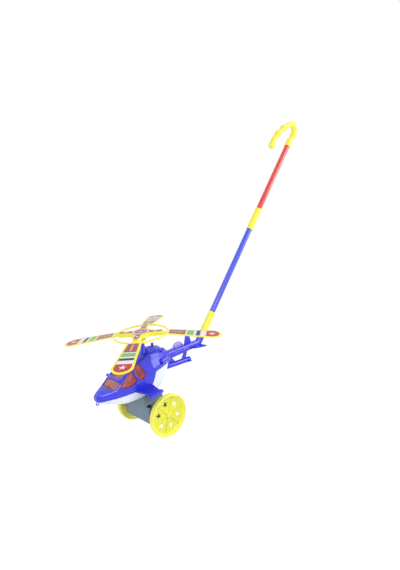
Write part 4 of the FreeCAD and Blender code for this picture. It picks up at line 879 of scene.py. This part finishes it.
# Stations of the belly: place; half width at the seam; half width and depth of the upper chine; half
# width and depth of the lower one, depths as shares of the belly's drop.
BELLY = [
    (-0.990, 0.190, 0.150, 0.09, 0.090, 0.15), (-0.850, 0.535, 0.460, 0.28, 0.290, 0.46),
    (-0.715, 0.730, 0.640, 0.43, 0.450, 0.70), (-0.580, 0.880, 0.790, 0.54, 0.630, 0.88),
    (-0.400, 0.970, 0.870, 0.60, 0.670, 0.97), (-0.060, 1.000, 0.885, 0.62, 0.670, 1.00),
    (0.00, 0.945, 0.868, 0.61, 0.658, 1.00), (0.33, 0.795, 0.710, 0.40, 0.530, 0.78),
    (0.60, 0.612, 0.530, 0.02, 0.400, 0.36), (0.76, 0.490, 0.420, -0.42, 0.310, -0.18),
    (0.87, 0.402, 0.350, -0.83, 0.260, -0.68),
]


def station_y(place):
    return place * (NOSE if place < 0 else CONE)


def eased(table, y, reach=2.6):
    """The table's columns at places y: straight between stations, the corners softened by averaging
    over a short stretch ahead and behind, shorter near the nose's tip."""
    stations = np.array([station_y(row[0]) for row in table])
    values = np.array([row[1:] for row in table])
    near_tip = np.clip(np.minimum(y - stations[0], stations[-1] - y) / reach, 0, 1)
    total = 0.0
    for shift in np.linspace(-1, 1, 7):
        at = y + shift * reach * near_tip
        total = total + np.stack([np.interp(at, stations, column) for column in values.T], axis=-1)
    return total / 7


def floor_height(y):
    """The lower edge of the blue: level to the rake, up the rake, then level to the boom."""
    return np.interp(y, [RAKE_FRONT, RAKE_BACK], [SEAM, TAIL_FLOOR])


def upper_sections(y):
    """Cross-sections of the upper body as (x, z): from the left lower edge up the wall, over the belt,
    the roof's edge and the ridge, and down again.  Each corner is a short curve."""
    seam_w, belt_w, belt_h, roof_w, roof_h, ridge_h = eased(UPPER, y).T
    floor = floor_height(y)
    belt_z = np.maximum(SEAM + belt_h * RISE, floor + 2.0)
    left = np.stack([
        np.stack([seam_w * HALF, floor], -1), np.stack([belt_w * HALF, belt_z], -1),
        np.stack([roof_w * HALF, SEAM + roof_h * RISE], -1),
        np.stack([0 * y, SEAM + ridge_h * RISE], -1)], axis=1)
    right = left[:, -2::-1] * np.array([-1.0, 1.0])
    corners = np.concatenate([left, right], axis=1)
    curved = rounded(corners, np.array([0, 4.2, 4.6, 6.0, 4.6, 4.2, 0])[:, None], 6, closed=False)
    steps = [6] + [1] * 5 + [24] + [1] * 5 + [9] + [1] * 5 + [9] + [1] * 5 + [24] + [1] * 5 + [6]
    return spread(curved, steps)


NOSE_ROUND = 2.4


def hull_rows(front, back):
    """Places of the rows: even steps, crowded at the nose's tip, exact at both ends of the rake."""
    tip = front + NOSE_ROUND * (1 - np.cos(np.linspace(0, np.pi / 2, 8)))[:-1]
    cabin = np.linspace(front + NOSE_ROUND, RAKE_FRONT, 104)[:-1]
    rake = np.linspace(RAKE_FRONT, RAKE_BACK, 15)[:-1]
    cowl = np.linspace(RAKE_BACK, back, 50)
    return np.concatenate([tip, cabin, rake, cowl])


def drawn_in(section, amount, centre):
    """A section moved towards a centre point by a set distance, at most to the centre itself."""
    away = section - centre
    length = np.linalg.norm(away, axis=-1, keepdims=True) + 1e-9
    return section - away / length * np.minimum(amount[:, None, None], length * 0.85)


def nose_draw(y, front):
    """How far a section is drawn in near the nose's tip: a quarter circle."""
    ahead = 1 - np.clip((y - front) / NOSE_ROUND, 0, 1)
    return NOSE_ROUND * (1 - np.sqrt(np.clip(1 - ahead ** 2, 0, 1)))


def along_y(section, y):
    """Sections given as (x, z), stood at their places along the toy."""
    places = np.broadcast_to(y[:, None], section.shape[:2])
    return np.stack([section[..., 0], places, section[..., 1]], axis=-1)


def grid_normals(grid):
    """Unit normals of a grid of points from its two directions' slopes."""
    along = np.gradient(grid, axis=0)
    across = np.gradient(grid, axis=1)
    normal = np.cross(along, across)
    return normal / (np.linalg.norm(normal, axis=-1, keepdims=True) + 1e-12)


def upper_grid(inset=0.0):
    """The upper body's surface as rows of points from nose to tail, or one inset within it."""
    y = hull_rows(-NOSE, CONE)
    section = upper_sections(y)
    middle = section[:, [0, -1]].mean(1, keepdims=True) + np.array([0.0, 3.0])
    grid = along_y(drawn_in(section, nose_draw(y, -NOSE), middle), y)
    return grid - inset * grid_normals(grid) if inset else grid


def window_outline(corners, radius, per_side=24):
    """A window's rounded outline as many points in the plane that it is cut in."""
    corners = np.asarray(corners, float)
    closed = rounded(corners, radius, 9)
    steps = [per_side if n % 9 == 8 else 1 for n in range(len(closed))]
    return spread(np.concatenate([closed, closed[:1]]), steps)[:-1]


def inside(points, outline):
    """True for points within an outline: a ray to the right crosses it an odd number of times."""
    x, y = points[..., 0, None], points[..., 1, None]
    x0, y0 = outline[:, 0], outline[:, 1]
    x1, y1 = np.roll(x0, -1), np.roll(y0, -1)
    spans = (y0 > y) != (y1 > y)
    crossing = x0 + (y - y0) * (x1 - x0) / np.where(y1 == y0, 1e-12, y1 - y0)
    return (spans & (x < crossing)).sum(-1) % 2 == 1


def cut_window(grid, keep, outline, plane, where, lip=0.35):
    """Opens a window in a grid: cells whose middle lies inside the outline go, and the corners left on
    the border slide along the surface on to the outline and sink a little, as a rolled edge."""
    flat = grid[..., plane]
    middle = (flat[:-1, :-1] + flat[1:, :-1] + flat[:-1, 1:] + flat[1:, 1:]) / 4
    gone = inside(middle, outline) & where[:-1, :-1]
    keep &= ~gone
    touch_gone = np.zeros(grid.shape[:2], bool)
    touch_kept = np.zeros(grid.shape[:2], bool)
    for di in (0, 1):
        for dj in (0, 1):
            touch_gone[di:grid.shape[0] - 1 + di, dj:grid.shape[1] - 1 + dj] |= gone
            touch_kept[di:grid.shape[0] - 1 + di, dj:grid.shape[1] - 1 + dj] |= ~gone
    border = touch_gone & touch_kept
    along = np.gradient(grid, axis=0)
    across = np.gradient(grid, axis=1)
    spots = flat[border]
    nearest = outline[((spots[:, None] - outline[None]) ** 2).sum(-1).argmin(1)]
    step = nearest - spots
    a, b = along[border], across[border]
    fall = a[:, plane[0]] * b[:, plane[1]] - a[:, plane[1]] * b[:, plane[0]]
    u = (step[:, 0] * b[:, plane[1]] - step[:, 1] * b[:, plane[0]]) / fall
    v = (a[:, plane[0]] * step[:, 1] - a[:, plane[1]] * step[:, 0]) / fall
    moved = grid[border] + u[:, None] * a + v[:, None] * b
    normal = np.cross(a, b)
    normal /= np.linalg.norm(normal, axis=1, keepdims=True)
    grid[border] = moved - lip * normal


SIDE_WINDOWS = [
    [(-0.700, 0.312), (-0.410, 0.705), (-0.366, 0.350), (-0.480, 0.228)],
    [(-0.366, 0.738), (-0.252, 0.822), (-0.180, 0.455), (-0.255, 0.305), (-0.330, 0.335)],
]
ROOF_WINDOWS = [[(0.640, -0.762), (0.675, -0.650)], [(0.600, -0.600), (0.540, -0.415)]]


def upper_body():
    """The blue shell's outer skin as a grid with its six window openings."""
    grid = upper_grid()
    rows, columns = grid.shape[:2]
    keep = np.ones((rows - 1, columns - 1), bool)
    left = np.broadcast_to(np.arange(columns) < columns // 2, (rows, columns))
    for corners in SIDE_WINDOWS:
        outline = window_outline([(place * NOSE, SEAM + height * RISE) for place, height in corners], 1.7)
        cut_window(grid, keep, outline, [1, 2], left)
        cut_window(grid, keep, outline, [1, 2], ~left)
    top = grid[..., 2] > SEAM + 0.2 * RISE
    for (front_x, front_y), (back_x, back_y) in ROOF_WINDOWS:
        outline = window_outline([(front_x * HALF, front_y * NOSE), (back_x * HALF, back_y * NOSE),
                                  (-back_x * HALF, back_y * NOSE), (-front_x * HALF, front_y * NOSE)], 1.6)
        cut_window(grid, keep, outline, [0, 1], top)
    nose_cap = np.arange(columns)[None, :]
    tail_cap = ((rows - 1) * columns + np.arange(columns))[None, ::-1]
    return grid.reshape(-1, 3), [grid_faces(rows, columns)[keep.ravel()][:, ::-1], nose_cap, tail_cap]


def solidified(made, thickness):
    """Gives a skin its wall, inwards from the skin, with its open edges closed."""
    modifier = made.modifiers.new("wall", "SOLIDIFY")
    modifier.thickness = thickness * MM
    modifier.offset = -1.0
    modifier.use_even_offset = False
    modifier.use_rim = True


solidified(piece("upper_shell_skin", upper_body(), BLUE, "body", ["upper_shell"],
                 crease=45.0), SHELL)


def window_skin():
    """The red moulding behind the openings: the same surface a wall's thickness further in."""
    grid = upper_grid(inset=1.75)
    y = grid[:, 0, 1]
    grid = grid[(y > -0.783 * NOSE) & (y < -0.145 * NOSE)]
    grid = grid[:, grid[len(grid) // 2, :, 2] > SEAM + 0.195 * RISE]
    return grid.reshape(-1, 3), [grid_faces(*grid.shape[:2])[:, ::-1]]


solidified(piece("window_moulding", window_skin(), window_red(), "body", ["window_insert"],
                 crease=45.0), 1.0)


def belly_sections(y):
    """Cross-sections of the belly as (x, z): from the left edge down over two chines to the flat floor
    and up the other side."""
    seam_w, upper_w, upper_d, lower_w, lower_d = eased(BELLY, y).T
    top = floor_height(y) + 1.0
    left = np.stack([
        np.stack([seam_w * HALF, top], -1), np.stack([upper_w * HALF, SEAM - upper_d * DROP], -1),
        np.stack([lower_w * HALF, SEAM - lower_d * DROP], -1)], axis=1)
    right = left[:, ::-1] * np.array([-1.0, 1.0])
    corners = np.concatenate([left, right], axis=1)
    curved = rounded(corners, np.array([0, 4.0, 3.0, 3.0, 4.0, 0])[:, None], 6, closed=False)
    steps = [12] + [1] * 5 + [6] + [1] * 5 + [14] + [1] * 5 + [6] + [1] * 5 + [12]
    return spread(curved, steps)


def belly_body():
    """The white lower shell's outer skin, a hair inside the blue one and a little above its edge."""
    front, back = -NOSE + 0.9, 0.87 * CONE
    y = hull_rows(front, back)
    section = belly_sections(y)
    middle = section[:, [0, -1]].mean(1, keepdims=True)
    grid = along_y(drawn_in(section, nose_draw(y, front) + 0.3, middle), y)
    rows, columns = grid.shape[:2]
    return grid.reshape(-1, 3), [grid_faces(rows, columns), np.arange(columns)[None, ::-1],
                                 ((rows - 1) * columns + np.arange(columns))[None, :]]


solidified(piece("belly_skin", belly_body(), WHITE, "body", ["belly_shell"],
                 crease=45.0), SHELL)


def skin_point(y, x=None, z=None):
    """Points of the upper body's surface at places y, from x on the roof or from z on the flank."""
    section = upper_sections(np.atleast_1d(y))
    half = section[:, :section.shape[1] // 2 + 1]
    found = []
    for row, line in enumerate(half):
        if z is None:
            found.append(np.interp(np.abs(x[row]), line[::-1, 0], line[::-1, 1]))
        else:
            rising = line[np.argmax(line[:, 0]):]
            found.append(np.interp(z[row], rising[:, 1], rising[:, 0]))
    return np.array(found)


def pillow(front, back, low, high, rise, side=0, edge=1.4, steps=34):
    """A raised patch on the roof, or on the flank of the side given: a rectangle of the skin, lifted by
    rise in the middle and falling below the skin along its rim, the fall a quarter circle wide as edge."""
    y = np.linspace(front, back, steps)
    y_grid, across_grid = np.meshgrid(y, np.linspace(low, high, steps), indexing="ij")
    if side:
        base = np.stack([side * skin_point(y, z=across_grid), y_grid, across_grid], axis=-1)
    else:
        base = np.stack([across_grid, y_grid, skin_point(y, x=across_grid)], axis=-1)
    normal = grid_normals(base) * (1 if side > 0 else -1)
    reach = np.minimum.reduce([y_grid - front, back - y_grid, across_grid - low, high - across_grid])
    share = np.clip(reach / edge, 0, 1)
    lift = -0.8 + (rise + 0.8) * np.sqrt(np.clip(1 - (1 - share) ** 2, 0, 1))
    points = np.concatenate([base + normal * lift[..., None], base - normal * 0.8]).reshape(-1, 3)
    faces = grid_faces(steps, steps)
    if side > 0:
        faces = faces[:, ::-1]
    return points, [faces, faces[:, ::-1] + steps * steps]


def ball(centre, radius, squash=(1.0, 1.0, 1.0), count=40):
    """A closed ball from rings of latitude, flattened along the axes if asked."""
    lat = np.linspace(-np.pi / 2, np.pi / 2, count // 2 + 1)[1:-1]
    lon = np.linspace(0, 2 * np.pi, count, endpoint=False)
    ring = np.stack([np.cos(lat)[:, None] * np.cos(lon), np.cos(lat)[:, None] * np.sin(lon),
                     np.broadcast_to(np.sin(lat)[:, None], (len(lat), count))], axis=-1)
    return tube(np.asarray(centre, float) + radius * ring * np.asarray(squash))


def wing(side):
    """A swept stub wing: a flat lens of a section carried from root to tip, and its pod."""
    share = np.linspace(0, 1, 30)
    x = HALF - 4.0 + share * (57.0 - HALF + 4.0)
    root_share = np.clip((x - HALF + 2.0) / (57.0 - HALF + 2.0), 0, 1)
    front = -50.0 + root_share * (50.0 - 38.6)
    back = -10.8 - root_share * 3.8
    low = 68.3 - 3.9 * root_share
    thick = 2.6 - 0.5 * root_share
    chord = back - front
    corners = np.array([[0.0, 0.25], [0.09, 1.0], [0.94, 1.0], [1.0, 0.5], [0.97, 0.0], [0.02, 0.0]])
    outline = rounded(corners, 0.03, 5)
    along = outline[None, :, 0] * chord[:, None] + front[:, None]
    up = low[:, None] + outline[None, :, 1] * thick[:, None]
    grid = np.stack([np.broadcast_to(x[:, None], along.shape), along, up], axis=-1)
    plate = tube(grid)
    pod = swept(np.linspace([57.0, -35.4, 61.4], [57.0, -11.6, 62.9], 12), 3.6, 28)
    surface = joined([plate, pod])
    return surface if side > 0 else mirrored(surface)


def tower():
    """The mast's fairing: a cone with a hollow side, turned round the mast."""
    angle = np.linspace(0, 1, 16)
    height = 139.0 - angle * 26.5
    radius = 3.4 + 9.8 * angle ** 1.9
    profile = np.concatenate([[[139.0, 1.9]], [[139.0, 3.2]], np.stack([height - 0.2, radius], -1),
                              [[109.0, 13.6]], [[109.0, 1.9]]])
    return tube(turned(profile, [0, 0, 0], [0, 0, 1], 72), wrap_rows=True)


def cowl_band(place, wide, rise):
    """A rib round the cowl: the skin's section lifted by rise along a short stretch."""
    y = np.linspace(place - wide / 2, place + wide / 2, 9)
    grid = along_y(upper_sections(y), y)
    normal = grid_normals(grid)
    lift = -0.6 + (rise + 0.6) * np.sin(np.linspace(0, np.pi, 9)) ** 0.7
    ring = np.concatenate([grid + normal * lift[:, None, None], (grid - normal * 0.7)[::-1]])
    return tube(np.swapaxes(ring, 0, 1))


def intake(side):
    """A long pod low on the cowl's flank with a rolled lip near its mouth and a domed end."""
    start = np.array([side * 0.72 * HALF, 0.34 * CONE, ROOF - 25.0])
    end = np.array([side * 0.50 * HALF, 0.80 * CONE, ROOF - 25.0])
    way = (end - start) / np.linalg.norm(end - start)
    body = swept(np.linspace(start + way * 5.4, end - way * 5.4, 14), 5.4, 36)
    lip = lathe([[1.6, 5.1], [1.6, 6.4], [4.2, 6.4], [4.2, 5.1]], start, way, 48, 0.7)
    return joined([body, lip])


def tail_floor():
    """The plate that closes the cowl from below, between the belly's end and the boom."""
    y = np.linspace(0.87 * CONE + 0.1, CONE - 0.1, 8)
    half = skin_point(y, z=np.full(len(y), TAIL_FLOOR + 0.6)) - 0.3
    rim = np.stack([half, y], axis=-1)
    outline = np.concatenate([rim, rim[::-1] * np.array([-1.0, 1.0])])
    return tube(slab(outline, TAIL_FLOOR, TAIL_FLOOR + 1.5, 0.2))


def upper_details():
    surfaces = [
        tower(), ball([0.0, 0.76 * CONE, ROOF - 17.2], 9.3),
        pillow(1.0, 0.60 * CONE, -12.0, 12.0, 5.6, steps=60),
        cowl_band(0.63 * CONE, 3.2, 0.9),
        swept(np.linspace([0.0, 0.40 * CONE, ROOF - 1.6], [0.0, 0.40 * CONE, ROOF + 5.0], 6), 1.8, 28),
        ball([0.0, 0.40 * CONE, ROOF + 6.4], 2.9),
        swept(np.linspace([3.0 - 0.77 * HALF, -0.625 * NOSE, SEAM + 0.515 * RISE],
                          [0.77 * HALF - 3.0, -0.625 * NOSE, SEAM + 0.515 * RISE], 30), 3.0, 36),
        tail_floor(),
    ]
    for side in (-1, 1):
        surfaces.append(wing(side))
        surfaces.append(intake(side))
        surfaces.append(pillow(-0.11 * NOSE, 0.40 * CONE, ROOF - 13.5, ROOF - 8.5, 0.8, side))
    return joined(surfaces)


piece("upper_shell_details", upper_details(), BLUE, "body", crease=40.0)


def nose_eye():
    """A round bar bent to a full ring, upright in the toy's middle plane."""
    turn = np.linspace(0, 2 * np.pi, 48, endpoint=False)[:, None]
    bend = np.linspace(0, 2 * np.pi, 20, endpoint=False)
    reach = 3.1 + np.cos(bend)
    place = np.stack([np.broadcast_to(np.sin(bend), (48, 20)), -0.97 * NOSE + reach * np.cos(turn),
                      SEAM - 4.2 + reach * np.sin(turn)], axis=-1)
    return tube(place, wrap_rows=True)


piece("nose_eye_ring", nose_eye(), BLUE, "body", ["nose_eye"])

# ---------------------------------------------------------------------------------------------
# Gearbox
# ---------------------------------------------------------------------------------------------
BOX_TOP = SEAM - DROP


def gearbox_section():
    """The gearbox from the front, left half, from the floor up: wall, rounded shoulder, hollow curve
    into the neck."""
    turn = np.linspace(0, np.pi / 2, 12)
    hollow_x = 23.5 + 9.0 * (1 - np.sin(turn))
    hollow_z = 30.0 + 9.0 * (1 - np.cos(turn))
    return np.concatenate([[[37.5, 2.0], [37.5, 27.0], [35.0, 30.0]],
                           np.stack([hollow_x, hollow_z], -1), [[23.5, BOX_TOP]]])


def gearbox():
    """The housing: its front outline carried from front to back, each end leaning inwards with height,
    the rims rolled by drawing the end rows in along a quarter circle."""
    smooth = rounded(gearbox_section(), 1.2, 4, closed=False)
    fine = spread(smooth, [8] + [1] * (len(smooth) - 2))
    outline = np.concatenate([fine, fine[::-1] * np.array([-1.0, 1.0])])
    away = outline - np.array([0.0, 22.0])
    away /= np.linalg.norm(away, axis=1, keepdims=True)
    edge = 0.9
    bend = np.linspace(0, np.pi / 2, 6)
    rows = []
    for side, foot, lean in ((-1, 33.0, 4.0), (1, 18.0, 6.0)):
        end = []
        for angle in bend:
            section = outline - away * edge * (1 - np.sin(angle))
            reach = foot - lean / (BOX_TOP - 2.0) * (section[:, 1] - 2.0) - edge * (1 - np.cos(angle))
            end.append(np.stack([section[:, 0], side * reach, section[:, 1]], axis=-1))
        rows.append(end if side < 0 else end[::-1])
    share = np.linspace(0, 1, 12)[1:-1, None, None]
    middle = rows[0][-1] + share * (rows[1][0] - rows[0][-1])
    return tube(np.concatenate([rows[0], middle, rows[1]]))


piece("gearbox_moulding", gearbox(), GREY, "body", ["gearbox_housing"], crease=35.0)

# ---------------------------------------------------------------------------------------------
# Tail
# ---------------------------------------------------------------------------------------------
BOOM_BACK = 139.0
BOOM_FLOOR = 88.2


def boom_top(y):
    return 104.0 - 4.0 * (y - CONE) / (BOOM_BACK - CONE)


def boom_height(y, share):
    """A height on the boom, from 0 at its level underside to 1 at its falling top."""
    return BOOM_FLOOR + share * (boom_top(y) - BOOM_FLOOR)


def boom():
    """The boom: an eight-cornered section with rolled corners, carried back and down a little."""
    y = np.concatenate([np.linspace(CONE - 1.0, BOOM_BACK - 3.0, 40),
                        BOOM_BACK - 3.0 + 3.0 * np.sin(np.linspace(0.2, np.pi / 2, 8))])
    draw = np.concatenate([np.zeros(40), 3.0 * (1 - np.cos(np.linspace(0.2, np.pi / 2, 8)))])
    along = (y - CONE) / (BOOM_BACK - CONE)
    half = 8.2 * (1 - 0.16 * along)
    top = boom_top(y)
    low = np.full_like(top, BOOM_FLOOR)
    slope = half * 0.35
    left = np.stack([np.stack([half - slope * 0.5, low], -1), np.stack([half, low + 3.0], -1),
                     np.stack([half, top - 3.6], -1), np.stack([half - slope, top], -1)], axis=1)
    corners = np.concatenate([left, left[:, ::-1] * np.array([-1.0, 1.0])], axis=1)
    section = rounded(corners, 1.6, 5)
    centre = section.mean(1, keepdims=True)
    section = drawn_in(section, draw, centre)
    surfaces = [tube(along_y(section, y))]
    for side in (-1, 1):
        for start, end in ((0.05, 0.60), (0.63, 0.86)):
            y_start, y_end = CONE + start * 85.0, CONE + end * 85.0
            x = side * (8.2 * 0.93 - 0.6)
            a = np.array([x, y_start + 2.3, boom_height(y_start, 0.55)])
            b = np.array([x * 0.94, y_end - 2.3, boom_height(y_end, 0.55)])
            surfaces.append(swept(np.linspace(a, b, 10), 2.3, 28))
    r = SLEEVE_RADIUS
    points, groups = stick_lathe([[-34.0, 0.01], [-34.0, r], [-9.0, r], [-9.0, TUBE_RADIUS],
                                  [22.0, TUBE_RADIUS], [24.0, TUBE_RADIUS - 1.4], [24.0, 0.01]], 64, 0.6)
    points[:, 2] = np.maximum(points[:, 2], BOOM_FLOOR - 0.6)
    surfaces.append((points, groups))
    return joined(surfaces)


def crest_pegs():
    """Three short pegs that fill the crest's holes."""
    start = CONE + 0.20 * (BOOM_BACK - CONE)
    pegs = []
    for n in range(3):
        centre = [-0.85, start + 2.5 + 9.4 * n, boom_top(start) + 2.2]
        pegs.append(lathe([[0.0, 0.01], [0.0, 1.5], [1.7, 1.5], [1.7, 0.01]], centre, [1, 0, 0], 28, 0.2))
    return joined(pegs)


piece("crest_pegs", crest_pegs(), BLUE, "body", crease=40.0)
piece("tail_boom_moulding", boom(), BLUE, "body", ["tail_boom"], crease=40.0)


def upright_plate(corners, thick, edge=0.5, radius=2.0, middle=0.0):
    """An upright plate given by its (y, z) corners: rounded corners, and rims drawn in by edge."""
    outline = rounded(np.asarray(corners, float), radius, 6)
    grid = slab(outline, middle - thick / 2, middle + thick / 2, edge)
    return tube(grid[..., [2, 0, 1]])


def flat_plate(corners, low, high, edge=0.5, radius=2.0):
    """A level plate given by its (x, y) corners."""
    return tube(slab(rounded(np.asarray(corners, float), radius, 6), low, high, edge))


fin_y = CONE + 0.53 * 85.0
piece("tail_fin_moulding", upright_plate([
    (fin_y, boom_top(fin_y) - 1.5), (fin_y + 19.5, boom_top(fin_y + 19.5) - 1.5),
    (fin_y + 15.5, boom_top(fin_y) + 26.0), (fin_y + 9.5, boom_top(fin_y) + 26.0)], 2.2, 0.6, 1.2),
    BLUE, "body", ["tail_fin"])

plane_z = boom_height(135.0, 0.28)
half_plane = flat_plate([(5.0, 106.7), (16.74, 115.7), (27.0, 136.0), (25.0, 139.0), (5.0, 135.0)],
                        plane_z, plane_z + 2.0, 0.5, 1.6)
piece("tailplane_mouldings", joined([half_plane, mirrored(half_plane)]), BLUE, "body",
      ["tailplane"])


def skid():
    """The skid: a turned body with a hollow nose, two side vanes and two struts up to the boom."""
    nose = np.array([0.0, 46.5, 73.3])
    tail = np.array([0.0, 111.5, 67.4])
    way = (tail - nose) / np.linalg.norm(tail - nose)
    body = lathe([[2.6, 0.01], [2.4, 1.9], [0.2, 2.1], [0.0, 4.3], [2.0, 5.0], [4.6, 5.5], [54.0, 5.5],
                  [55.0, 5.2], [56.0, 5.5], [63.6, 5.5], [65.2, 4.4], [65.2, 0.01]], nose, way, 56, 0.9)
    vane = flat_plate([(1.0, 90.5), (1.0, 107.5), (10.0, 107.5), (10.0, 103.5)], 65.8, 67.0, 0.3, 0.8)
    struts = [
        upright_plate([(56.2, 88.9), (62.1, 88.9), (75.8, 71.3), (49.1, 71.3)], 1.8, 0.4, 0.8),
        upright_plate([(97.9, 88.9), (106.3, 88.9), (99.8, 71.3), (86.8, 71.3)], 1.8, 0.4, 0.8),
    ]
    return joined([body, vane, mirrored(vane)] + struts)


piece("tail_skid_moulding", skid(), BLUE, "body", ["tail_skid"], crease=40.0)

for node, finish in {
    "boom_crest": crest_lilac(), "axle": STEEL, "mast": STEEL, "crown_gear": GEAR_WHITE,
    "mast_pinion": GEAR_WHITE, "gearbox_cover": GREY, "axle_bush_left": BLACK, "axle_bush_right": BLACK,
    "mast_bush_lower": BLACK, "mast_bush_upper": BLACK, "gearbox_screws": DARK_STEEL,
    "body_screws": DARK_STEEL, "gearbox_mount_screws": DARK_STEEL,
}.items():
    dress(node, finish)

# ---------------------------------------------------------------------------------------------
# Stage: floor, backdrop, light and camera
# ---------------------------------------------------------------------------------------------


WORLD_LIGHT = 0.60
FLOOR_GLOW = 1.16
FLOOR_WHITENESS = 0.86
FLOOR_REACH = 6.0
FLOOR_Z = -0.0322


def seen_by(tree, *rays):
    """1 for rays of the kinds named and 0 for others."""
    path = tree.nodes.new("ShaderNodeLightPath")
    seen = path.outputs[rays[0]]
    for ray in rays[1:]:
        seen = add_node(tree, "ShaderNodeMath", {"operation": "MAXIMUM"}, {0: seen, 1: path.outputs[ray]})
    return seen


def backdrop():
    """A plain world: white where the camera or a reflection sees it, a soft grey-white as light."""
    world = bpy.data.worlds.new("studio")
    world.use_nodes = True
    bpy.context.scene.world = world
    tree = world.node_tree
    background = tree.nodes["Background"]
    seen = seen_by(tree, "Is Camera Ray", "Is Glossy Ray", "Is Transmission Ray")
    strength = add_node(tree, "ShaderNodeMapRange", {}, {0: seen, 1: 0.0, 2: 1.0, 3: WORLD_LIGHT, 4: 1.0})
    background.inputs["Color"].default_value = (1.0, 1.0, 1.0, 1.0)
    tree.links.new(strength, background.inputs["Strength"])


def floor():
    """A plain pale floor under the wheels.  Camera rays see it mostly white, and a share of its own
    shading keeps the toy's shadow."""
    mesh = bpy.data.meshes.new("floor")
    corners = [(-FLOOR_REACH, -FLOOR_REACH), (FLOOR_REACH, -FLOOR_REACH), (FLOOR_REACH, FLOOR_REACH),
               (-FLOOR_REACH, FLOOR_REACH)]
    mesh.from_pydata([(x, y, FLOOR_Z) for x, y in corners], [], [(0, 1, 2, 3)])
    made = bpy.data.objects.new("floor", mesh)
    bpy.context.scene.collection.objects.link(made)
    finish = Finish("floor", Base_Color=(0.94, 0.94, 0.94, 1.0), Roughness=0.8, Specular_IOR_Level=0.0)
    tree = finish.tree
    glow = add_node(tree, "ShaderNodeEmission", {}, {"Strength": FLOOR_GLOW})
    seen = seen_by(tree, "Is Camera Ray", "Is Glossy Ray")
    share = add_node(tree, "ShaderNodeMath", {"operation": "MULTIPLY"}, {0: seen, 1: FLOOR_WHITENESS})
    mixed = add_node(tree, "ShaderNodeMixShader", {}, {0: share, 1: finish.shader.outputs[0], 2: glow})
    tree.links.new(mixed, tree.nodes["Material Output"].inputs["Surface"])
    mesh.materials.append(finish.material)


def stand(made, place, right, up, back):
    """Puts an object at a place in metres, its own X, Y and Z along right, up and back."""
    turn = Matrix(np.column_stack([right, up, back]).tolist()).to_4x4()
    made.matrix_world = Matrix.Translation(place) @ turn
    bpy.context.scene.collection.objects.link(made)


def lamp(name, place, size, power, aim=(0.0, 0.05, 0.12)):
    """A square soft lamp at a place in metres, turned to face a point."""
    light = bpy.data.lights.new(name, "AREA")
    light.size = size
    light.energy = power
    away = np.array(place) - np.array(aim)
    away /= np.linalg.norm(away)
    right = np.cross([0.0, 0.0, 1.0], away)
    right /= np.linalg.norm(right)
    stand(bpy.data.objects.new(name, light), place, right, np.cross(away, right), away)


def camera():
    """The view: from ahead of the toy's left side and above, rolled a little."""
    azimuth, elevation, roll = math.radians(47.19), math.radians(12.93), math.radians(-5.92)
    back = np.array([math.sin(azimuth) * math.cos(elevation), -math.cos(azimuth) * math.cos(elevation),
                     math.sin(elevation)])
    level = np.array([math.cos(azimuth), math.sin(azimuth), 0.0])
    upright = np.cross(level, -back)
    right = level * math.cos(roll) + upright * math.sin(roll)
    up = -level * math.sin(roll) + upright * math.cos(roll)
    data = bpy.data.cameras.new("view")
    data.lens = 27.27
    data.sensor_width = 36.0
    data.clip_start = 0.01
    made = bpy.data.objects.new("view", data)
    stand(made, (0.6395, -0.4315, 0.4129), right, up, back)
    bpy.context.scene.camera = made


backdrop()
floor()
lamp("key", (0.75, -0.75, 1.15), 0.6, 7.0)
lamp("side", (1.2, -0.1, 0.55), 0.8, 2.2, (0.0, 0.05, 0.10))
lamp("rear", (0.72, 1.05, 0.62), 0.7, 7.5)
lamp("fill", (-1.1, -0.6, 0.9), 1.4, 5.0)
camera()
bpy.context.scene.view_settings.view_transform = "Standard"

bpy.context.view_layer.update()
